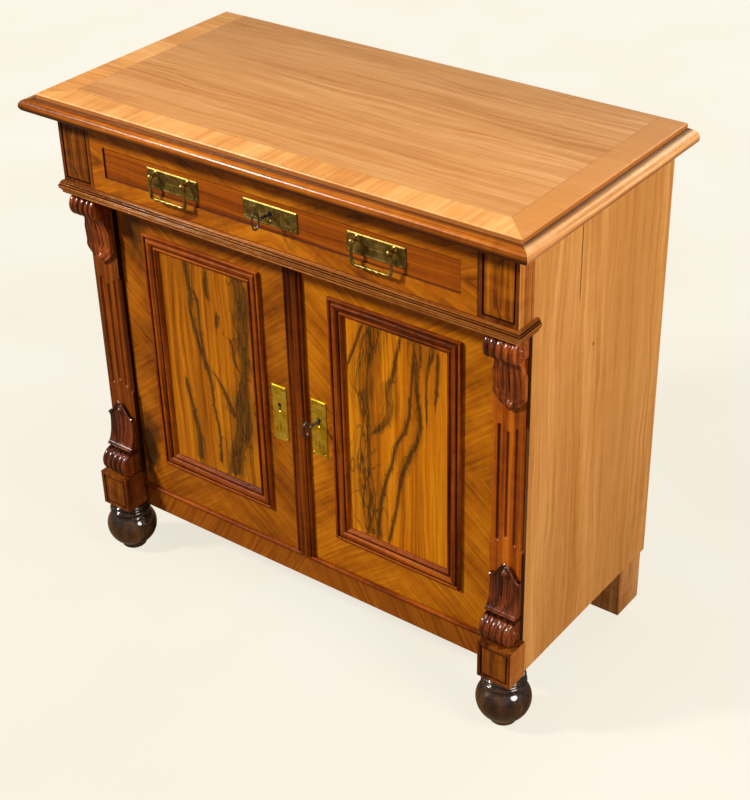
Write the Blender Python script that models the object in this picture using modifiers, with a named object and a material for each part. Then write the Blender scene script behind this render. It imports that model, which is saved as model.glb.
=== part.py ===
"""Low walnut cupboard: one frieze drawer over two panelled doors, between pilasters with carved consoles.

Metres, +Z up, +X to the right, the doors face -Y. The origin is on the floor, under the middle of
the bounding box. Depths are measured forward from the back of the case.
"""

from math import cos, pi, sin

import bmesh
import bpy
from mathutils import Matrix, Vector

# Overall sizes
WIDTH = 1.010
DEPTH = 0.510
GAP = 0.0003
DOOR_GAP = 0.0015
CUT_OVER = 0.002

# Heights, from the floor up
FOOT_H = 0.104
CUPBOARD_H = 0.663
WAIST_H = 0.0245
FRIEZE_H = 0.1215
TOP_MOULDING_H = 0.034
TOP_EDGE_H = 0.008

# Top
NOSE_OVER = 0.0225
NOSE_R = 0.0095
SIDE_OVERHANG = 0.0175
FRONT_OVERHANG = 0.025
TOP_BOARD_T = 0.022
TOP_EDGE_ROUND = 0.0012

# Case
SIDE_T = 0.020
SIDE_SET_BACK = 0.041
STILE_BACK_SET = 0.0775
BACK_T = 0.008
BACK_INSET = 0.004
BOTTOM_T = 0.018
BOTTOM_BELOW_PLINTH = 0.002
RAIL_BACK_SET = 0.1025
TOP_RAIL_D = 0.060
TOP_RAIL_DROP = 0.0105
WAIST_PROUD = 0.010
WAIST_RETURN = 0.050

# Pilasters, consoles and base blocks
BLOCK_W = 0.0705
BLOCK_MARGIN = 0.0085
PANEL_STEP = 0.003
PANEL_STEP_SLOPE = 0.0006
PANEL_RISE = 0.0035
PANEL_HIP = 0.42
SHAFT_W = 0.0615
SHAFT_EDGE_SET = 0.0055
SHAFT_SET_BACK = 0.037
BASE_W = 0.0655
BASE_H = 0.0735
BASE_PROUD = 0.003
BASE_SIDE_PROUD = 0.004
FLUTE_R = 0.0045
FLUTE_CUT = 0.003
FLUTE_PITCH = 0.0165
FLUTE_BOTTOM = 0.262
FLUTE_TOP = 0.488
FLUTE_SHORTER = 0.010
CHAMFER = 0.005
CHAMFER_OVERRUN = 0.011
CONSOLE_W = 0.058
ROLL_PROUD = 0.005
UPPER_ROLL_R = 0.022
LOWER_ROLL_R = 0.0255
ROLL_RIBS = 5
ROLL_END = 0.001
RIB_DEPTH = 0.0022
UPPER_CONSOLE_H = 0.1435
LOWER_CONSOLE_H = 0.1545
TONGUE_T = 0.0055
TONGUE_POINT = 0.022
CONSOLE_LIP_H = 0.0305
CONSOLE_LIP_T = 0.008
CONSOLE_BODY_T = 0.0055
LEDGE_T = 0.0175
BOSS_R = 0.0055

# Feet
FOOT_SET_BACK = 0.031
BALL_R = 0.0485
BALL_Z = 0.050
NECK_R = 0.036
FOOT_BASE_R = 0.0240
FOOT_BASE_H = 0.006
REAR_FOOT_W = 0.058
REAR_FOOT_D = 0.0735
REAR_FOOT_IN = 0.0015
REAR_FOOT_BACK = 0.0095

# Doors
DOOR_SET_BACK = 0.0475
DOOR_T = 0.020
PLINTH_H = 0.048
PLINTH_DROP = 0.008
BEAD_H = 0.0075
BEAD_PROUD = 0.006
MOULD_W = 0.030
MOULD_SEAT = 0.012
PANEL_T = 0.008
PANEL_SUNK = 0.003
MOULD_SIDE_MARGIN = 0.0603
MOULD_MEETING_MARGIN = 0.0729
MOULD_TOP_MARGIN = 0.0588
MOULD_BOTTOM_MARGIN = 0.0677
ASTRAGAL_W = 0.038
PIN_IN = 0.0101
PIN_SET = 0.0045
PIN_R = 0.0025
PIN_DEPTH = 0.011
PIN_END_GAP = 0.0005

# Drawer
DRAWER_SIDE_GAP = 0.001
DRAWER_TOP_GAP = 0.001
DRAWER_FRONT_T = 0.022
DRAWER_SIDE_T = 0.012
DRAWER_SIDE_H = 0.085
DRAWER_BACK_CLEAR = 0.0485
DRAWER_BOTTOM_T = 0.006
DRAWER_BOTTOM_UP = 0.0055
DRAWER_BACK_DOWN = 0.005
RECESS_SIDE = 0.0305
RECESS_BOTTOM = 0.028
RECESS_TOP = 0.0255
RECESS_DEPTH = 0.0025
RUNNER_T = 0.018
RUNNER_LEDGE = 0.0155
GUIDE_H = 0.024

# Shelf
SHELF_UP = 0.327
SHELF_T = 0.018
SHELF_SET_BACK = 0.010
HOUSING_CUT = 0.006
CASE_ROUND = 0.0008

# Brass and locks
PLATE_LONG = 0.112
PLATE_SHORT = 0.036
DOOR_PLATE_W = 0.033
PLATE_T = 0.0015
PULL_X = 0.208
POST_SPACING = 0.070
POST_UP = 0.010
POST_R = 0.0032
POST_BALL_R = 0.005
POST_LENGTH = 0.0125
BAIL_R = 0.0025
BAIL_DROP = 0.040
KEY_R = 0.0025
KEY_IN = 0.0055
KEYHOLE_PLAY = 0.0006
KEYHOLE_SLOT_W = 0.0024
KEYHOLE_SLOT_H = 0.010
KEYHOLE_DEPTH = 0.0045
COLLAR_OUT = 0.006
COLLAR_L = 0.003
COLLAR_PROUD = 0.0015
BOW_H = 0.032
BOW_W = 0.020
BOW_WIRE = 0.0018
DRAWER_BOW_OUT = 0.0365
DOOR_BOW_OUT = 0.0363
DRAWER_KEY_UP = 0.004
LEFT_PLATE_X = -0.044
RIGHT_PLATE_X = 0.0425
PLATE_Z = 0.4385
DOOR_KEY_UP = 0.0165
LOCK_T = 0.0115
LOCK_LONG = 0.070
LOCK_BOLT_W = 0.020
LOCK_BOLT_T = 0.0055
LOCK_PAST_KEY = 0.022
LOCK_BELOW_KEY = 0.026
LOCK_TOP_GAP = 0.002
BOLT_BEFORE_KEY = 0.008
BOLT_INSIDE = 0.0005
LOCK_THROW = 0.008
SLIDE_BOLT_R = 0.004
SLIDE_BOLT_L = 0.090
SLIDE_BOLT_COVER = 0.004
SLIDE_BOLT_X = 0.026
SLIDE_THROW = 0.011
SLIDE_GRIP_UP = 0.012
SLIDE_GRIP_R = 0.003
SLIDE_GRIP_OUT = 0.007
SLIDE_BOLT_DOWN = 0.001
KEEP_PLAY = 0.001

# Values that follow from the sizes above
NOSE_X = WIDTH / 2
BOARD_X = NOSE_X - NOSE_OVER
CASE_X = BOARD_X - SIDE_OVERHANG
INSIDE_X = CASE_X - SIDE_T
BOARD_D = DEPTH - NOSE_OVER
FRIEZE_D = BOARD_D - FRONT_OVERHANG
SIDE_D = FRIEZE_D - SIDE_SET_BACK
DOOR_D = FRIEZE_D - DOOR_SET_BACK
DOOR_BACK_D = DOOR_D - DOOR_T
STILE_BACK_D = FRIEZE_D - STILE_BACK_SET
RAIL_BACK_D = FRIEZE_D - RAIL_BACK_SET
SHAFT_D = FRIEZE_D - SHAFT_SET_BACK
BASE_D = FRIEZE_D + BASE_PROUD
INNER_BACK_D = BACK_INSET + BACK_T
CASE_Z = FOOT_H
WAIST_Z = CASE_Z + CUPBOARD_H
FRIEZE_Z = WAIST_Z + WAIST_H
MOULDING_Z = FRIEZE_Z + FRIEZE_H
EDGE_Z = MOULDING_Z + TOP_MOULDING_H
TOP_Z = EDGE_Z + TOP_EDGE_H
BOARD_Z = TOP_Z - TOP_BOARD_T
BASE_TOP_Z = CASE_Z + BASE_H
PLINTH_TOP_Z = CASE_Z + PLINTH_H
DOOR_Z0 = PLINTH_TOP_Z + DOOR_GAP
DOOR_Z1 = WAIST_Z - DOOR_GAP
BLOCK_X = CASE_X - BLOCK_W
BASE_OUT_X = CASE_X + BASE_SIDE_PROUD
BASE_X = BASE_OUT_X - BASE_W
SHAFT_OUT_X = CASE_X - SHAFT_EDGE_SET
SHAFT_X = SHAFT_OUT_X - SHAFT_W
FOOT_X = (BASE_X + BASE_OUT_X) / 2
CONSOLE_X = (SHAFT_X + SHAFT_OUT_X + BASE_X + BASE_OUT_X) / 4
ROLL_D = FRIEZE_D + ROLL_PROUD
DOOR_EDGE_X = SHAFT_X - DOOR_GAP
PIN_X = DOOR_EDGE_X - PIN_IN
PIN_D = DOOR_D - PIN_SET
SLIDE_BOLT_D = DOOR_BACK_D + SLIDE_BOLT_R + SLIDE_BOLT_COVER
MEET_X = -ASTRAGAL_W / 2
RAIL_TOP_Z = FRIEZE_Z - GAP
DRAWER_X = BLOCK_X - DRAWER_SIDE_GAP
TOP_RAIL_Z = MOULDING_Z - TOP_RAIL_DROP + GAP
DRAWER_Z0 = FRIEZE_Z + DRAWER_TOP_GAP
DRAWER_Z1 = TOP_RAIL_Z - GAP - DRAWER_TOP_GAP
DRAWER_FRONT_BACK_D = FRIEZE_D - DRAWER_FRONT_T
DRAWER_BACK_D = INNER_BACK_D + DRAWER_BACK_CLEAR
RECESS_D = FRIEZE_D - RECESS_DEPTH
RECESS_Z = (DRAWER_Z0 + RECESS_BOTTOM + DRAWER_Z1 - RECESS_TOP) / 2
SHELF_Z = CASE_Z + SHELF_UP
DRAWER_KEY_Z = RECESS_Z + DRAWER_KEY_UP
DOOR_KEY_Z = PLATE_Z + DOOR_KEY_UP
POST_Z = RECESS_Z + POST_UP
POST_D = RECESS_D + GAP + PLATE_T + POST_LENGTH

PARTS = "low_cupboard"
CUTTERS = "low_cupboard_cutters"
FINISHES = {
    "top_veneer": ((0.56, 0.30, 0.12), 0.35, 0.0),
    "walnut_side": ((0.50, 0.26, 0.10), 0.42, 0.0),
    "crossband_veneer": ((0.46, 0.19, 0.035), 0.32, 0.0),
    "figured_veneer": ((0.50, 0.22, 0.035), 0.30, 0.0),
    "red_walnut": ((0.26, 0.075, 0.022), 0.34, 0.0),
    "moulding_walnut": ((0.40, 0.16, 0.045), 0.34, 0.0),
    "dark_foot": ((0.09, 0.035, 0.016), 0.30, 0.0),
    "pine": ((0.60, 0.42, 0.22), 0.65, 0.0),
    "brass": ((0.55, 0.42, 0.12), 0.32, 1.0),
    "iron": ((0.16, 0.13, 0.11), 0.45, 1.0),
}


def y_at(depth):
    """World y of a depth measured forward from the back of the case."""
    return DEPTH / 2 - depth


def clear_scene():
    for obj in list(bpy.data.objects):
        bpy.data.objects.remove(obj, do_unlink=True)


def make_collection(name):
    collection = bpy.data.collections.new(name)
    bpy.context.scene.collection.children.link(collection)
    return collection


def make_finish(name):
    colour, roughness, metallic = FINISHES[name]
    finish = bpy.data.materials.new(name)
    finish.use_nodes = True
    shader = finish.node_tree.nodes["Principled BSDF"]
    shader.inputs["Base Color"].default_value = (*colour, 1.0)
    shader.inputs["Roughness"].default_value = roughness
    shader.inputs["Metallic"].default_value = metallic
    finish.diffuse_color = (*colour, 1.0)
    return finish


def new_object(name, shape, finish, origin=(0, 0, 0)):
    """Turns a bmesh made in world space into an object whose origin is at the given point."""
    bmesh.ops.recalc_face_normals(shape, faces=shape.faces)
    mesh = bpy.data.meshes.new(name)
    shape.to_mesh(mesh)
    shape.free()
    mesh.transform(Matrix.Translation(-Vector(origin)))
    obj = bpy.data.objects.new(name, mesh)
    obj.location = origin
    if finish is None:
        bpy.data.collections[CUTTERS].objects.link(obj)
        obj.hide_render = True
        obj.display_type = "WIRE"
        return obj
    bpy.data.collections[PARTS].objects.link(obj)
    mesh.materials.append(bpy.data.materials[finish])
    return obj


def box(name, x, depth, z, finish=None, origin=None):
    """A box from ranges of x, depth and z; its origin is its middle unless one is given."""
    low = Vector((min(x), y_at(max(depth)), min(z)))
    high = Vector((max(x), y_at(min(depth)), max(z)))
    shape = bmesh.new()
    bmesh.ops.create_cube(shape, size=1.0)
    bmesh.ops.scale(shape, vec=high - low, verts=shape.verts)
    bmesh.ops.translate(shape, vec=(low + high) / 2, verts=shape.verts)
    return new_object(name, shape, finish, origin or (low + high) / 2)


def rod(name, start, end, radius, finish=None, sides=16, origin=None):
    """A cylinder between two world points."""
    start, end = Vector(start), Vector(end)
    turn = (end - start).to_track_quat("Z", "Y").to_matrix().to_4x4()
    shape = bmesh.new()
    bmesh.ops.create_cone(
        shape, cap_ends=True, segments=sides, radius1=radius, radius2=radius,
        depth=(end - start).length, matrix=Matrix.Translation((start + end) / 2) @ turn,
    )
    return new_object(name, shape, finish, origin or (start + end) / 2)


def prism(name, outline, near, far, axis, finish=None, origin=None):
    """A flat outline pushed along an axis. The outline's pairs are the two other world axes, in order."""
    places = {"X": lambda a, b, c: (c, a, b), "Y": lambda a, b, c: (a, c, b), "Z": lambda a, b, c: (a, b, c)}
    shape = bmesh.new()
    corners = [shape.verts.new(places[axis](a, b, near)) for a, b in outline]
    face = shape.faces.new(corners)
    grown = bmesh.ops.extrude_face_region(shape, geom=[face])
    moved = [item for item in grown["geom"] if isinstance(item, bmesh.types.BMVert)]
    push = Vector(places[axis](0, 0, far - near))
    bmesh.ops.translate(shape, vec=push, verts=moved)
    middle = sum((v.co for v in shape.verts), Vector()) / len(shape.verts)
    return new_object(name, shape, finish, origin or middle)


def swept(name, profile, path, to_world, closed, finish, origin):
    """A moulding: a profile of (out, up) points led along a flat path with mitred corners.

    The path turns anticlockwise as seen from the side that up points to, so that out points away.
    """
    count = len(path)
    shape = bmesh.new()
    rings = []
    for index, point in enumerate(path):
        before = Vector(path[index]) - Vector(path[index - 1]) if closed or index else None
        after = None
        if closed or index + 1 < count:
            after = Vector(path[(index + 1) % count]) - Vector(path[index])
        before = before or after
        after = after or before
        normals = [Vector((way.y, -way.x)).normalized() for way in (before, after)]
        mitre = (normals[0] + normals[1]).normalized()
        mitre /= mitre.dot(normals[0])
        rings.append([shape.verts.new(to_world(*(Vector(point) + mitre * out), up)) for out, up in profile])
    pairs = list(zip(rings, rings[1:])) + ([(rings[-1], rings[0])] if closed else [])
    for one, other in pairs:
        for k in range(len(profile)):
            nxt = (k + 1) % len(profile)
            shape.faces.new((one[k], one[nxt], other[nxt], other[k]))
    if not closed:
        shape.faces.new(rings[0])
        shape.faces.new(list(reversed(rings[-1])))
    return new_object(name, shape, finish, origin)


def mitred_strip(name, profile, start, end, out, mitres, inner, finish):
    """A straight strip of (out, up) profile whose ends lean with the profile where a mitre is set.

    Behind the inner limit an end stays square, and its face folds along that limit.
    """
    start, end, out = Vector(start), Vector(end), Vector(out)
    along = (end - start).normalized()
    shape = bmesh.new()
    rings = []
    for point, lean in ((start, -mitres[0]), (end, mitres[1])):
        rings.append([
            shape.verts.new(point + out * o + Vector((0, 0, up)) + along * lean * max(o, inner))
            for o, up in profile
        ])
    for k in range(len(profile)):
        nxt = (k + 1) % len(profile)
        shape.faces.new((rings[0][k], rings[0][nxt], rings[1][nxt], rings[1][k]))
    fold = [k for k, (o, up) in enumerate(profile) if o == inner]
    for ring in rings:
        end_face = shape.faces.new(ring)
        if len(fold) == 2:
            bmesh.utils.face_split(end_face, ring[fold[0]], ring[fold[1]])
    return new_object(name, shape, finish, (start + end) / 2)


def turned(name, profile, location, finish=None, steps=24, rotation=(0, 0, 0)):
    """A turned piece: its (radius, height) profile runs from the top down its outer side."""
    shape = bmesh.new()
    points = [shape.verts.new((radius, 0, height)) for radius, height in profile]
    for one, other in zip(points, points[1:]):
        shape.edges.new((one, other))
    mesh = bpy.data.meshes.new(name)
    shape.to_mesh(mesh)
    shape.free()
    obj = bpy.data.objects.new(name, mesh)
    obj.location = location
    obj.rotation_euler = rotation
    screw = obj.modifiers.new("Turning", "SCREW")
    screw.steps = steps
    screw.render_steps = steps
    screw.use_merge_vertices = True
    screw.merge_threshold = 0.00001
    screw.use_smooth_shade = True
    if finish is None:
        bpy.data.collections[CUTTERS].objects.link(obj)
        obj.hide_render = True
        obj.display_type = "WIRE"
        return obj
    bpy.data.collections[PARTS].objects.link(obj)
    mesh.materials.append(bpy.data.materials[finish])
    return obj


def soften(obj, width, segments=1):
    modifier = obj.modifiers.new("Softened edges", "BEVEL")
    modifier.width = width
    modifier.segments = segments
    return obj


def combine(obj, tools, operation):
    for tool in tools:
        modifier = obj.modifiers.new(operation.title() + " " + tool.name, "BOOLEAN")
        modifier.operation = operation
        modifier.object = tool
    return obj


def cut(obj, *tools):
    return combine(obj, tools, "DIFFERENCE")


def join(obj, *tools):
    return combine(obj, tools, "UNION")


def carried(body, location, pieces):
    """Hangs pieces on an empty that stands on their joint's axis."""
    empty = bpy.data.objects.new(body + "_axis", None)
    empty.location = location
    bpy.data.collections[PARTS].objects.link(empty)
    for piece in pieces:
        piece.parent = empty
        piece.location = Vector(piece.location) - Vector(location)
    return empty


def floor_plane(x, y, up):
    return (x, y, up)


def front_plane(x, z, up):
    """A plane parallel to the front, with up pointing forward from the door face."""
    return (x, y_at(DOOR_D + up), z)


def arc(middle, radius, first, last, steps):
    """Points of an arc, its angles in turns."""
    angles = [2 * pi * (first + (last - first) * k / steps) for k in range(steps + 1)]
    return [(middle[0] + radius * cos(angle), middle[1] + radius * sin(angle)) for angle in angles]


def side_name(side):
    return "left" if side < 0 else "right"


def stile_outline(side, inner, outer, front):
    """Plan of a corner member: a stile inside the side panel, lapping over the panel's front edge."""
    points = [
        (inner, STILE_BACK_D), (INSIDE_X - GAP, STILE_BACK_D), (INSIDE_X - GAP, SIDE_D + GAP),
        (outer, SIDE_D + GAP), (outer, front), (inner, front),
    ]
    return [(side * x, y_at(depth)) for x, depth in points]


def base_outline(side):
    """Plan of a base block: its stile keeps clear of the door's edge, its front part is wider."""
    outline = stile_outline(side, SHAFT_X, BASE_OUT_X, BASE_D)
    lap = DOOR_D + BEAD_PROUD / 2
    outline[-1:] = [(side * BASE_X, y_at(BASE_D)), (side * BASE_X, y_at(lap)), (side * SHAFT_X, y_at(lap))]
    return outline


def hipped_panel(shape, low, high):
    """Sinks a margin's step into the front face between two heights and raises a hipped field in it."""
    fronts = [f for f in shape.faces if f.normal.y < -0.9 and low <= f.calc_center_median().z <= high]
    face = min(fronts, key=lambda f: f.calc_center_median().y)
    bmesh.ops.inset_region(shape, faces=[face], thickness=BLOCK_MARGIN, depth=0)
    bmesh.ops.inset_region(shape, faces=[face], thickness=PANEL_STEP_SLOPE, depth=-PANEL_STEP)
    shorter = min(edge.calc_length() for edge in face.edges)
    bmesh.ops.inset_region(shape, faces=[face], thickness=shorter * PANEL_HIP, depth=PANEL_RISE)


def column_block(name, outline, bottom, top, panel_top, finish):
    """A stile block with a hipped panel on its front, below panel_top."""
    shape = bmesh.new()
    face = shape.faces.new([shape.verts.new((x, y, bottom)) for x, y in outline])
    grown = bmesh.ops.extrude_face_region(shape, geom=[face])
    moved = [item for item in grown["geom"] if isinstance(item, bmesh.types.BMVert)]
    bmesh.ops.translate(shape, vec=(0, 0, top - bottom), verts=moved)
    bmesh.ops.recalc_face_normals(shape, faces=shape.faces)
    if panel_top < top:
        everything = list(shape.verts) + list(shape.edges) + list(shape.faces)
        bmesh.ops.bisect_plane(shape, geom=everything, plane_co=(0, 0, panel_top), plane_no=(0, 0, 1))
    hipped_panel(shape, bottom, panel_top)
    front = min(y for x, y in outline)
    middle = sum(x for x, y in outline) / len(outline)
    return new_object(name, shape, finish, (middle, front, bottom))


def top_profile(inner, fold=None):
    """Section of the top's moulding: under the board's edge, out to a round nose and back in a hollow.

    With a fold it reaches further in, with a point at the fold above and below.
    """
    nose_z = EDGE_Z - NOSE_R - 0.0010
    nose = arc((NOSE_OVER - NOSE_R, nose_z), NOSE_R, 0.23, -0.24, 10)
    low = nose_z - NOSE_R
    hollow = [(0.0085, low), (0.0050, low - 0.0015), (-0.0030, low - 0.0040), (-0.0095, MOULDING_Z + 0.0050),
              (-0.0105, MOULDING_Z + 0.0025), (-0.0140, MOULDING_Z)]
    seat = [(inner, MOULDING_Z), (inner, BOARD_Z - GAP), (GAP, BOARD_Z - GAP), (GAP, EDGE_Z)]
    if fold is None:
        return seat + nose + hollow
    return seat[:2] + [(fold, BOARD_Z - GAP)] + seat[2:] + nose + hollow + [(fold, MOULDING_Z)]


def build_top():
    board = box("top_board", (-BOARD_X, BOARD_X), (0, BOARD_D), (BOARD_Z, TOP_Z), "top_veneer")
    soften(board, TOP_EDGE_ROUND)
    inner = -SIDE_OVERHANG + GAP
    front = y_at(BOARD_D)
    mitred_strip(
        "top_moulding_front", top_profile(-FRONT_OVERHANG + GAP, inner), (-BOARD_X + GAP, front, 0),
        (BOARD_X - GAP, front, 0), (0, -1, 0), (1, 1), inner, "moulding_walnut",
    )
    for side in (-1, 1):
        mitred_strip(
            "top_moulding_" + side_name(side), top_profile(inner), (side * BOARD_X, y_at(0), 0),
            (side * BOARD_X, front + GAP, 0), (side, 0, 0), (0, 1), -1.0, "moulding_walnut",
        )


def build_case():
    top = BOARD_Z - GAP
    shelf_front = STILE_BACK_D - SHELF_SET_BACK
    for side in (-1, 1):
        name = "side_panel_" + side_name(side)
        panel = box(name, (side * INSIDE_X, side * CASE_X), (0, SIDE_D), (CASE_Z, top), "walnut_side")
        soften(panel, CASE_ROUND)
        housing = box(name + "_housing", (side * (INSIDE_X - CUT_OVER), side * (INSIDE_X + HOUSING_CUT)),
                      (INNER_BACK_D, shelf_front + GAP), (SHELF_Z - GAP, SHELF_Z + SHELF_T + GAP))
        cut(panel, housing)
    inside = INSIDE_X - GAP
    box("back_panel", (-inside, inside), (BACK_INSET, INNER_BACK_D), (CASE_Z, top), "pine")
    floor_top = PLINTH_TOP_Z - BOTTOM_BELOW_PLINTH
    box("bottom_board", (-inside, inside), (INNER_BACK_D + GAP, STILE_BACK_D - GAP),
        (floor_top - BOTTOM_T, floor_top), "pine")
    box("top_rail", (-BLOCK_X + GAP, BLOCK_X - GAP), (FRIEZE_D - TOP_RAIL_D, FRIEZE_D - GAP),
        (TOP_RAIL_Z, top), "crossband_veneer")
    build_drawer_rail(inside)
    for side in (-1, 1):
        build_runner(side, inside)
    shelf_x = INSIDE_X + HOUSING_CUT - GAP
    box("shelf", (-shelf_x, shelf_x), (INNER_BACK_D + GAP, shelf_front), (SHELF_Z, SHELF_Z + SHELF_T), "pine")


def build_drawer_rail(inside):
    """The rail under the drawer: between the sides at the back, over the pilasters at the front."""
    points = [
        (-inside, RAIL_BACK_D), (inside, RAIL_BACK_D), (inside, SIDE_D + GAP), (CASE_X, SIDE_D + GAP),
        (CASE_X, FRIEZE_D), (-CASE_X, FRIEZE_D), (-CASE_X, SIDE_D + GAP), (-inside, SIDE_D + GAP),
    ]
    rail = prism("drawer_rail", [(x, y_at(depth)) for x, depth in points], WAIST_Z + GAP, RAIL_TOP_Z, "Z",
                 "red_walnut")
    slide_x = MEET_X - SLIDE_BOLT_X
    holes = [
        rod("rail_pin_hole_" + side_name(side), (side * PIN_X, y_at(PIN_D), WAIST_Z - CUT_OVER),
            (side * PIN_X, y_at(PIN_D), WAIST_Z + PIN_DEPTH + PIN_END_GAP), PIN_R + GAP)
        for side in (-1, 1)
    ]
    slide_y = y_at(SLIDE_BOLT_D)
    keep = rod("slide_bolt_keep", (slide_x, slide_y, WAIST_Z - CUT_OVER),
               (slide_x, slide_y, WAIST_Z + SLIDE_THROW + KEEP_PLAY), SLIDE_BOLT_R + KEEP_PLAY)
    cut(rail, keep, *holes)


def build_runner(side, inside):
    """A drawer runner with a guide strip: an L section led from the back panel to the drawer rail."""
    top = RAIL_TOP_Z
    section = [
        (BLOCK_X - RUNNER_LEDGE, top - RUNNER_T), (inside, top - RUNNER_T), (inside, top + GUIDE_H),
        (BLOCK_X, top + GUIDE_H), (BLOCK_X, top), (BLOCK_X - RUNNER_LEDGE, top),
    ]
    outline = [(side * x, z) for x, z in section]
    prism("drawer_runner_" + side_name(side), outline, y_at(INNER_BACK_D + GAP), y_at(RAIL_BACK_D - GAP),
          "Y", "pine")


def build_frieze_blocks():
    for side in (-1, 1):
        outline = stile_outline(side, BLOCK_X, CASE_X, FRIEZE_D - GAP)
        column_block("frieze_block_" + side_name(side), outline, FRIEZE_Z, BOARD_Z - GAP,
                     MOULDING_Z, "crossband_veneer")


def build_waist_moulding():
    """Reeded moulding under the drawer, returned a short way along each side."""
    profile = [
        (GAP, 0.0003), (0.0030, 0.0010), (0.0045, 0.0040), (0.0045, 0.0080), (0.0075, 0.0095),
        (WAIST_PROUD, 0.0125), (WAIST_PROUD, 0.0165), (0.0085, 0.0185), (0.0060, 0.0195),
        (0.0065, 0.0215), (0.0050, WAIST_H - 0.0010), (0.0020, WAIST_H), (GAP, WAIST_H),
    ]
    back = y_at(FRIEZE_D - WAIST_RETURN)
    front = y_at(FRIEZE_D)
    path = [(-CASE_X, back), (-CASE_X, front), (CASE_X, front), (CASE_X, back)]
    raised = [(out, WAIST_Z + up) for out, up in profile]
    swept("waist_moulding", raised, path, floor_plane, False, "red_walnut", (0, front, WAIST_Z))


def flute_cutter(name, x, bottom, top):
    """A long round-ended cutter that stands in the shaft's front face."""
    shape = bmesh.new()
    bmesh.ops.create_uvsphere(shape, u_segments=12, v_segments=6, radius=FLUTE_R)
    reach = (top - bottom) / 2 - FLUTE_R
    for vert in shape.verts:
        vert.co.z += reach if vert.co.z > -0.00001 else -reach
    middle = Vector((x, y_at(SHAFT_D + FLUTE_R - FLUTE_CUT), (top + bottom) / 2))
    bmesh.ops.translate(shape, vec=middle, verts=shape.verts)
    return new_object(name, shape, None, middle)


def chamfer_cutter(name, x, bottom, top):
    """A square bar set cornerwise on the shaft's arris."""
    shape = bmesh.new()
    side = CHAMFER * 2 ** 0.5
    bmesh.ops.create_cube(shape, size=1.0)
    bmesh.ops.scale(shape, vec=(side, side, top - bottom), verts=shape.verts)
    bmesh.ops.rotate(shape, matrix=Matrix.Rotation(pi / 4, 3, "Z"), verts=shape.verts)
    middle = Vector((x, y_at(SHAFT_D), (top + bottom) / 2))
    bmesh.ops.translate(shape, vec=middle, verts=shape.verts)
    return new_object(name, shape, None, middle)


def build_pilaster(side):
    name = "pilaster_" + side_name(side)
    outline = stile_outline(side, SHAFT_X, SHAFT_OUT_X, SHAFT_D)
    shaft = prism(name, outline, BASE_TOP_Z + GAP, WAIST_Z, "Z", "red_walnut")
    low, high = CASE_Z + FLUTE_BOTTOM, CASE_Z + FLUTE_TOP
    middle = (SHAFT_X + SHAFT_OUT_X) / 2
    flutes = []
    for place in (-1, 0, 1):
        shorter = FLUTE_SHORTER if place == 0 else 0
        x = side * (middle + place * FLUTE_PITCH)
        flutes.append(flute_cutter("%s_flute_%d" % (name, place + 2), x, low + shorter, high - shorter))
    arrises = [
        chamfer_cutter("%s_chamfer_%d" % (name, k), side * x, low - CHAMFER_OVERRUN, high + CHAMFER_OVERRUN)
        for k, x in enumerate((SHAFT_X, SHAFT_OUT_X))
    ]
    cut(shaft, *flutes, *arrises)


def ribbed_roll(name, x, depth, z, radius):
    """A barrel of round ribs lying along X."""
    half = CONSOLE_W / 2 - ROLL_END
    pitch = 2 * half / ROLL_RIBS
    points = [(0, half)]
    for rib in range(ROLL_RIBS):
        start = half - rib * pitch
        points.append((radius - RIB_DEPTH, start))
        points.append((radius - RIB_DEPTH * 0.25, start - pitch * 0.2))
        points.append((radius, start - pitch * 0.5))
        points.append((radius - RIB_DEPTH * 0.25, start - pitch * 0.8))
    points.append((radius - RIB_DEPTH, -half))
    points.append((0, -half))
    return turned(name, points, (x, y_at(depth), z), steps=18, rotation=(0, pi / 2, 0))


def console(name, x, side_section, front_outline, roll, boss):
    """A console: its side section, the roll and the boss joined, then cut to its front outline."""
    section = [(y_at(depth), z) for depth, z in side_section]
    half = CONSOLE_W / 2 + ROLL_END
    body = prism(name, section, x - half, x + half, "X", "red_walnut",
                 origin=(x, y_at(SHAFT_D), front_outline[0][1]))
    mask = prism(name + "_outline", [(x + a, z) for a, z in front_outline], y_at(FRIEZE_D + UPPER_ROLL_R),
                 y_at(SHAFT_D + GAP), "Y")
    barrel = ribbed_roll(name + "_roll", x, *roll)
    knob = turned(name + "_boss", [(0, BOSS_R), (BOSS_R * 0.7, BOSS_R * 0.7), (BOSS_R, 0), (BOSS_R, -BOSS_R),
                                   (0, -BOSS_R)],
                  (x, y_at(boss[0]), boss[1]), steps=12, rotation=(pi / 2, 0, 0))
    join(body, barrel, knob)
    combine(body, [mask], "INTERSECT")


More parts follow.
